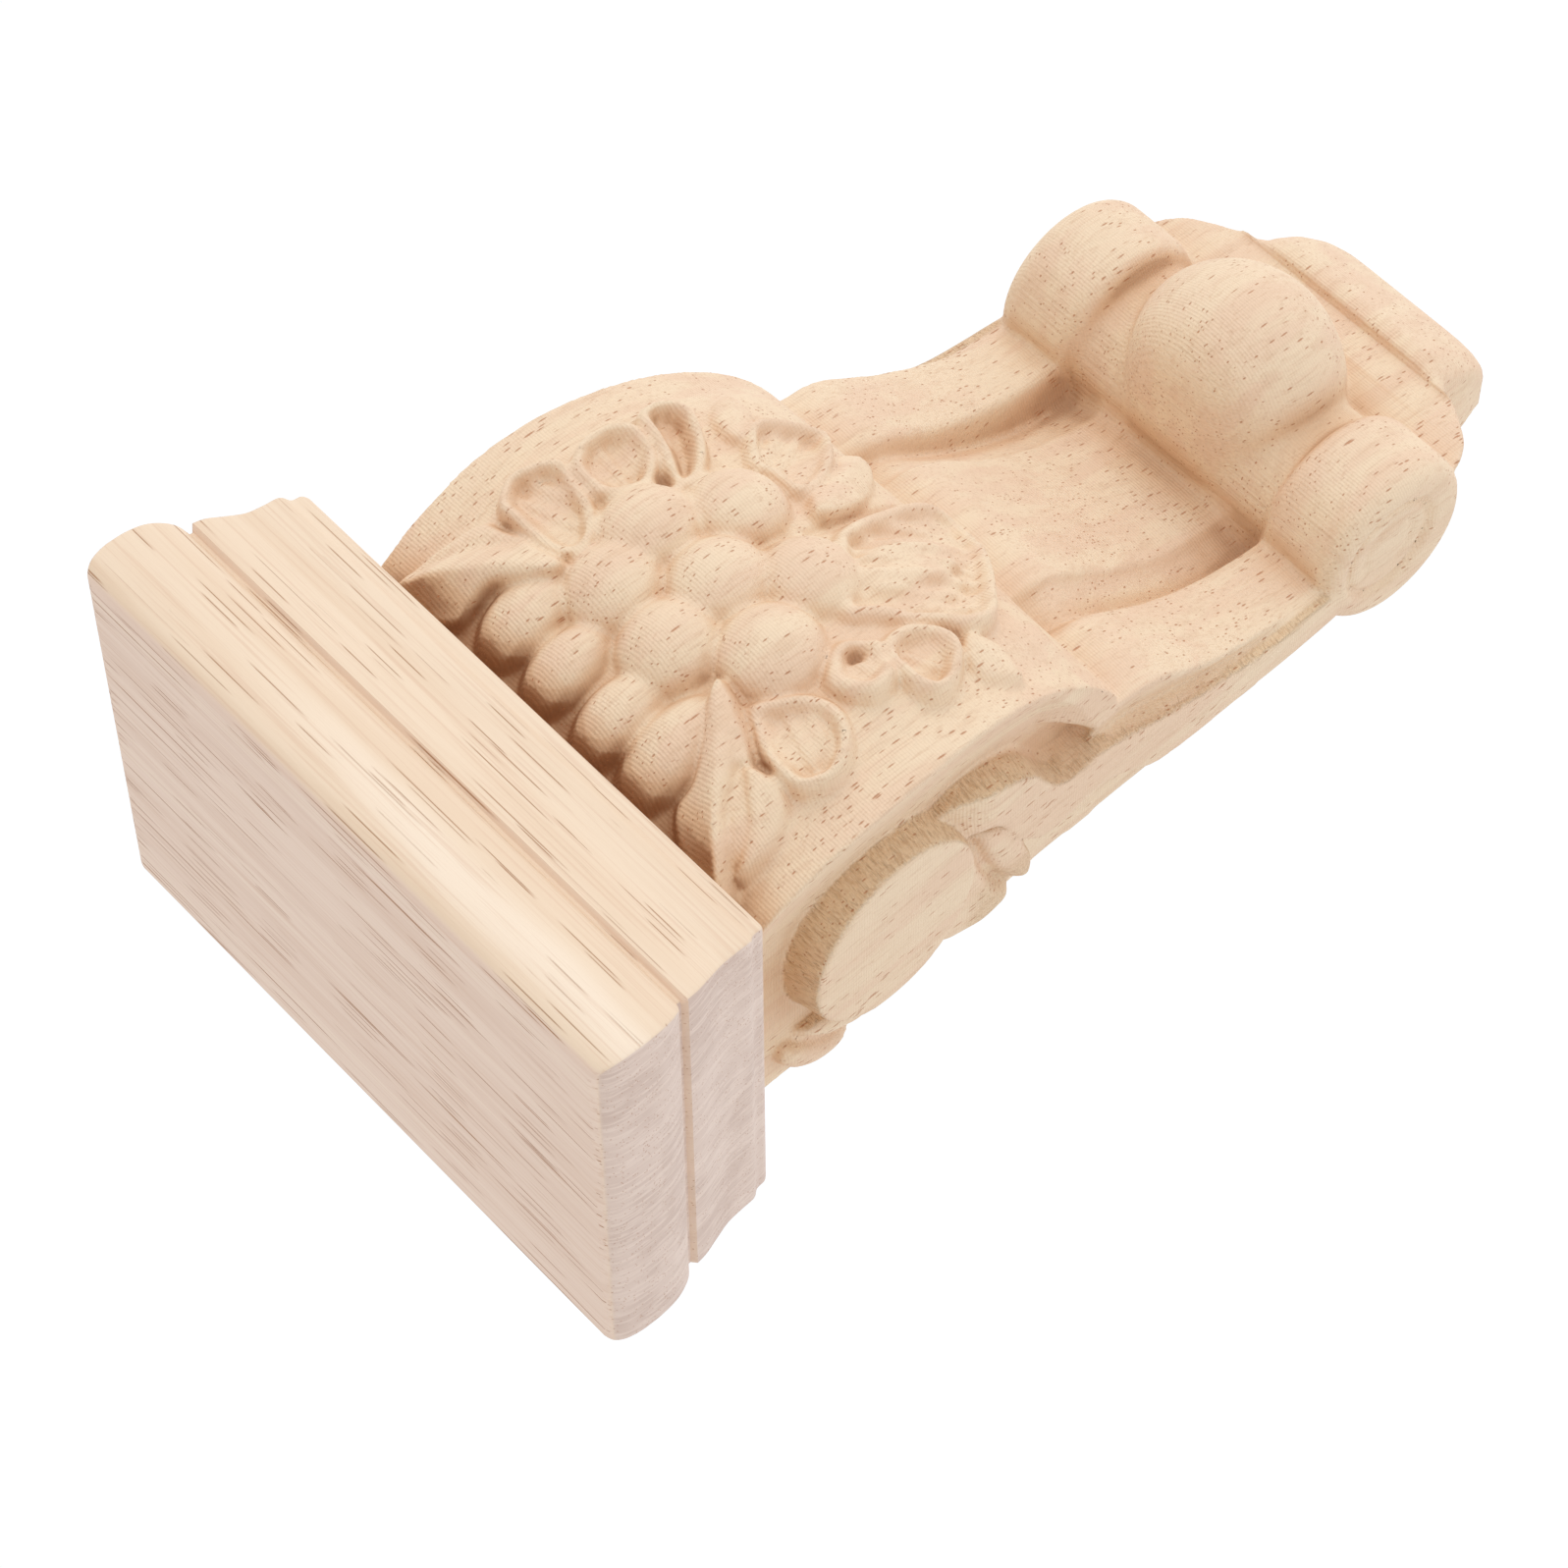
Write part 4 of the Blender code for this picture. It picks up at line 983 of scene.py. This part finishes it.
def cap_wood():
    s = Shader("moulded_cap_wood")
    cream = (0.835, 0.665, 0.50, 1)
    tan = (0.765, 0.575, 0.41, 1)
    facing = s.node("ShaderNodeSeparateXYZ")
    s.put(facing.inputs[0], s.node("ShaderNodeNewGeometry").outputs["Normal"])
    end_grain = s.ramp(s.math("ABSOLUTE", facing.outputs[0]), 0.55, 0.8)
    top = s.ramp(facing.outputs[2], 0.6, 0.95)
    bands = s.noise((90, 6, 3.5), 3, 0.6, 0.5)
    colour = s.mix(s.math("MULTIPLY", s.ramp(bands, 0.4, 0.66), 0.6), cream, tan)
    colour = s.mix(s.math("MULTIPLY", top, 0.7), colour, (0.86, 0.675, 0.58, 1))
    rings = s.noise((120, 3.2, 3.2), 3, 0.6, 0.4)
    colour = s.mix(s.math("MULTIPLY", s.math("MULTIPLY", top, s.ramp(rings, 0.46, 0.66)), 0.42), colour,
                   (0.74, 0.545, 0.43, 1))
    colour = s.mix(s.math("MULTIPLY", s.math("MULTIPLY", top, s.ramp(rings, 0.5, 0.34)), 0.4), colour,
                   (0.90, 0.74, 0.60, 1))
    # Painted highlight: a light cream band on the front-facing upper rounding of the moulding, with its
    # pores drawn fainter.
    spot = s.node("ShaderNodeSeparateXYZ")
    s.put(spot.inputs[0], s.place)
    wander = s.noise((50, 50, 50), 2, 0.5)
    level = s.math("ADD", spot.outputs[2], s.math("MULTIPLY", wander, 0.008))
    painted_highlight = s.math("MULTIPLY", s.ramp(level, 0.0695, 0.0725), s.ramp(level, 0.0775, 0.0745))
    painted_highlight = s.math("MULTIPLY", painted_highlight, s.ramp(spot.outputs[0], 0.03, -0.015))
    painted_highlight = s.math("MULTIPLY", painted_highlight, s.ramp(facing.outputs[1], -0.4, -0.75))
    colour = s.mix(s.math("MULTIPLY", painted_highlight, 0.46), colour, (0.955, 0.83, 0.69, 1))
    streak = s.noise((30, 0.5, 0.5), 2, 0.6)
    colour = s.mix(s.math("MULTIPLY", s.ramp(streak, 0.5, 0.68), 0.32), colour, (0.66, 0.43, 0.29, 1))
    colour = s.mix(s.math("MULTIPLY", end_grain, 0.85), colour, (0.695, 0.55, 0.485, 1))
    patches = s.noise((40, 16, 9), 2, 0.5, 0.6)
    patched = s.math("MULTIPLY", end_grain, s.ramp(patches, 0.42, 0.6))
    colour = s.mix(s.math("MULTIPLY", patched, 0.55), colour, (0.585, 0.44, 0.37, 1))
    rays = s.noise((30, 0.8, 7), 3, 0.6, 0.9)
    rayed = s.math("MULTIPLY", end_grain, s.ramp(rays, 0.42, 0.64))
    colour = s.mix(s.math("MULTIPLY", rayed, 0.6), colour, (0.83, 0.685, 0.595, 1))
    dots = s.math("MULTIPLY", end_grain, s.pores((3, 0.42, 0.42), 0.3, 0.3))
    colour = s.mix(s.math("MULTIPLY", dots, 0.4), colour, (0.50, 0.30, 0.20, 1))
    crowd = s.noise((46, 2.2, 2.2), 2, 0.6)
    short = s.pores((17, 0.42, 0.42), 0.25, 0.24, crowd, "CHEBYCHEV", 1.4)
    middling = s.pores((33, 0.5, 0.5), 0.2, 0.4, crowd, "CHEBYCHEV", 1.4)
    long = s.pores((58, 0.66, 0.66), 0.17, 0.56, crowd, "CHEBYCHEV", 1.2)
    broad = s.math("MULTIPLY", s.pores((70, 0.9, 0.9), 0.16, 0.8, crowd, "CHEBYCHEV", 1.2), top)
    pores = s.math("MAXIMUM", s.math("MAXIMUM", short, long), s.math("MAXIMUM", middling, broad))
    stain = s.math("ADD", 0.74, s.math("MULTIPLY", top, 0.2))
    stain = s.math("SUBTRACT", stain, s.math("MULTIPLY", painted_highlight, 0.3))
    colour = s.mix(s.math("MULTIPLY", pores, stain), colour, (0.40, 0.17, 0.065, 1))
    fibre = s.noise((2.6, 0.18, 0.18), 2, 0.6)
    height = s.math("SUBTRACT", s.math("MULTIPLY", fibre, 0.45), s.math("MULTIPLY", pores, 1.0))
    height = s.math("MULTIPLY", height, s.math("SUBTRACT", 1.0, s.math("MULTIPLY", end_grain, 0.75)))
    normal = s.bump(height, 0.12, 0.6)
    return s.finish(colour, s.math("MULTIPLY_ADD", fibre, 0.15), normal, 0.34)


def dress():
    body = make_body()
    body.data.materials.clear()
    body.data.materials.append(body_wood())
    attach(body, "root")
    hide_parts("carved_body")
    cap = make_cap()
    cap.data.materials.clear()
    cap.data.materials.append(cap_wood())
    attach(cap, "root")
    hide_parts("moulded_cap")


def plain_material(name, colour, roughness):
    s = Shader(name)
    tint = s.noise((300, 300, 300), 1)
    shade = s.mix(s.math("MULTIPLY", tint, 0.02), colour, (0.9, 0.9, 0.9, 1))
    s.put(s.surface.inputs["Base Color"], shade)
    s.surface.inputs["Roughness"].default_value = roughness
    s.surface.inputs["Specular IOR Level"].default_value = 0.1
    s.surface.inputs["Emission Color"].default_value = (1, 1, 1, 1)
    s.surface.inputs["Emission Strength"].default_value = 0.22
    return s.material


def studio():
    """Pale floor well below the corbel, white surroundings and one broad soft lamp."""
    size = 6.0
    corners = [(x * size, y * size, -0.5) for x, y in ((-1, -1), (1, -1), (1, 1), (-1, 1))]
    floor = mesh_object("studio_floor", corners, [(0, 1, 2, 3)])
    floor.data.materials.append(plain_material("floor_paper", (0.93, 0.95, 0.98, 1), 0.9))
    floor.visible_shadow = False
    world = bpy.data.worlds.new("studio")
    bpy.context.scene.world = world
    world.use_nodes = True
    shade = world.node_tree.nodes["Background"]
    shade.inputs["Color"].default_value = (1, 1, 1, 1)
    shade.inputs["Strength"].default_value = 0.86
    lamp = bpy.data.lights.new("key", "SUN")
    lamp.energy = 0.62
    lamp.angle = math.radians(40)
    key = bpy.data.objects.new("key", lamp)
    bpy.context.scene.collection.objects.link(key)
    toward = Vector((0.45, -0.80, -0.35))
    key.rotation_euler = toward.to_track_quat("Z", "Y").to_euler()
    key.location = toward


def photograph_camera():
    right = Vector((-0.66267, 0.00409, -0.74890))
    down = Vector((-0.61218, 0.57306, 0.54483))
    ahead = Vector((0.43139, 0.81950, -0.37725))
    data = bpy.data.cameras.new("camera")
    data.lens = 118.98
    data.sensor_width = 36
    data.clip_start = 0.01
    data.clip_end = 100
    camera = bpy.data.objects.new("camera", data)
    turn = Matrix((right, -down, -ahead)).transposed().to_4x4()
    camera.matrix_world = Matrix.Translation((-0.300393, -0.572276, 0.265674)) @ turn
    bpy.context.scene.collection.objects.link(camera)
    bpy.context.scene.camera = camera


photograph_camera()
studio()
dress()
bpy.context.scene.view_settings.view_transform = "Standard"
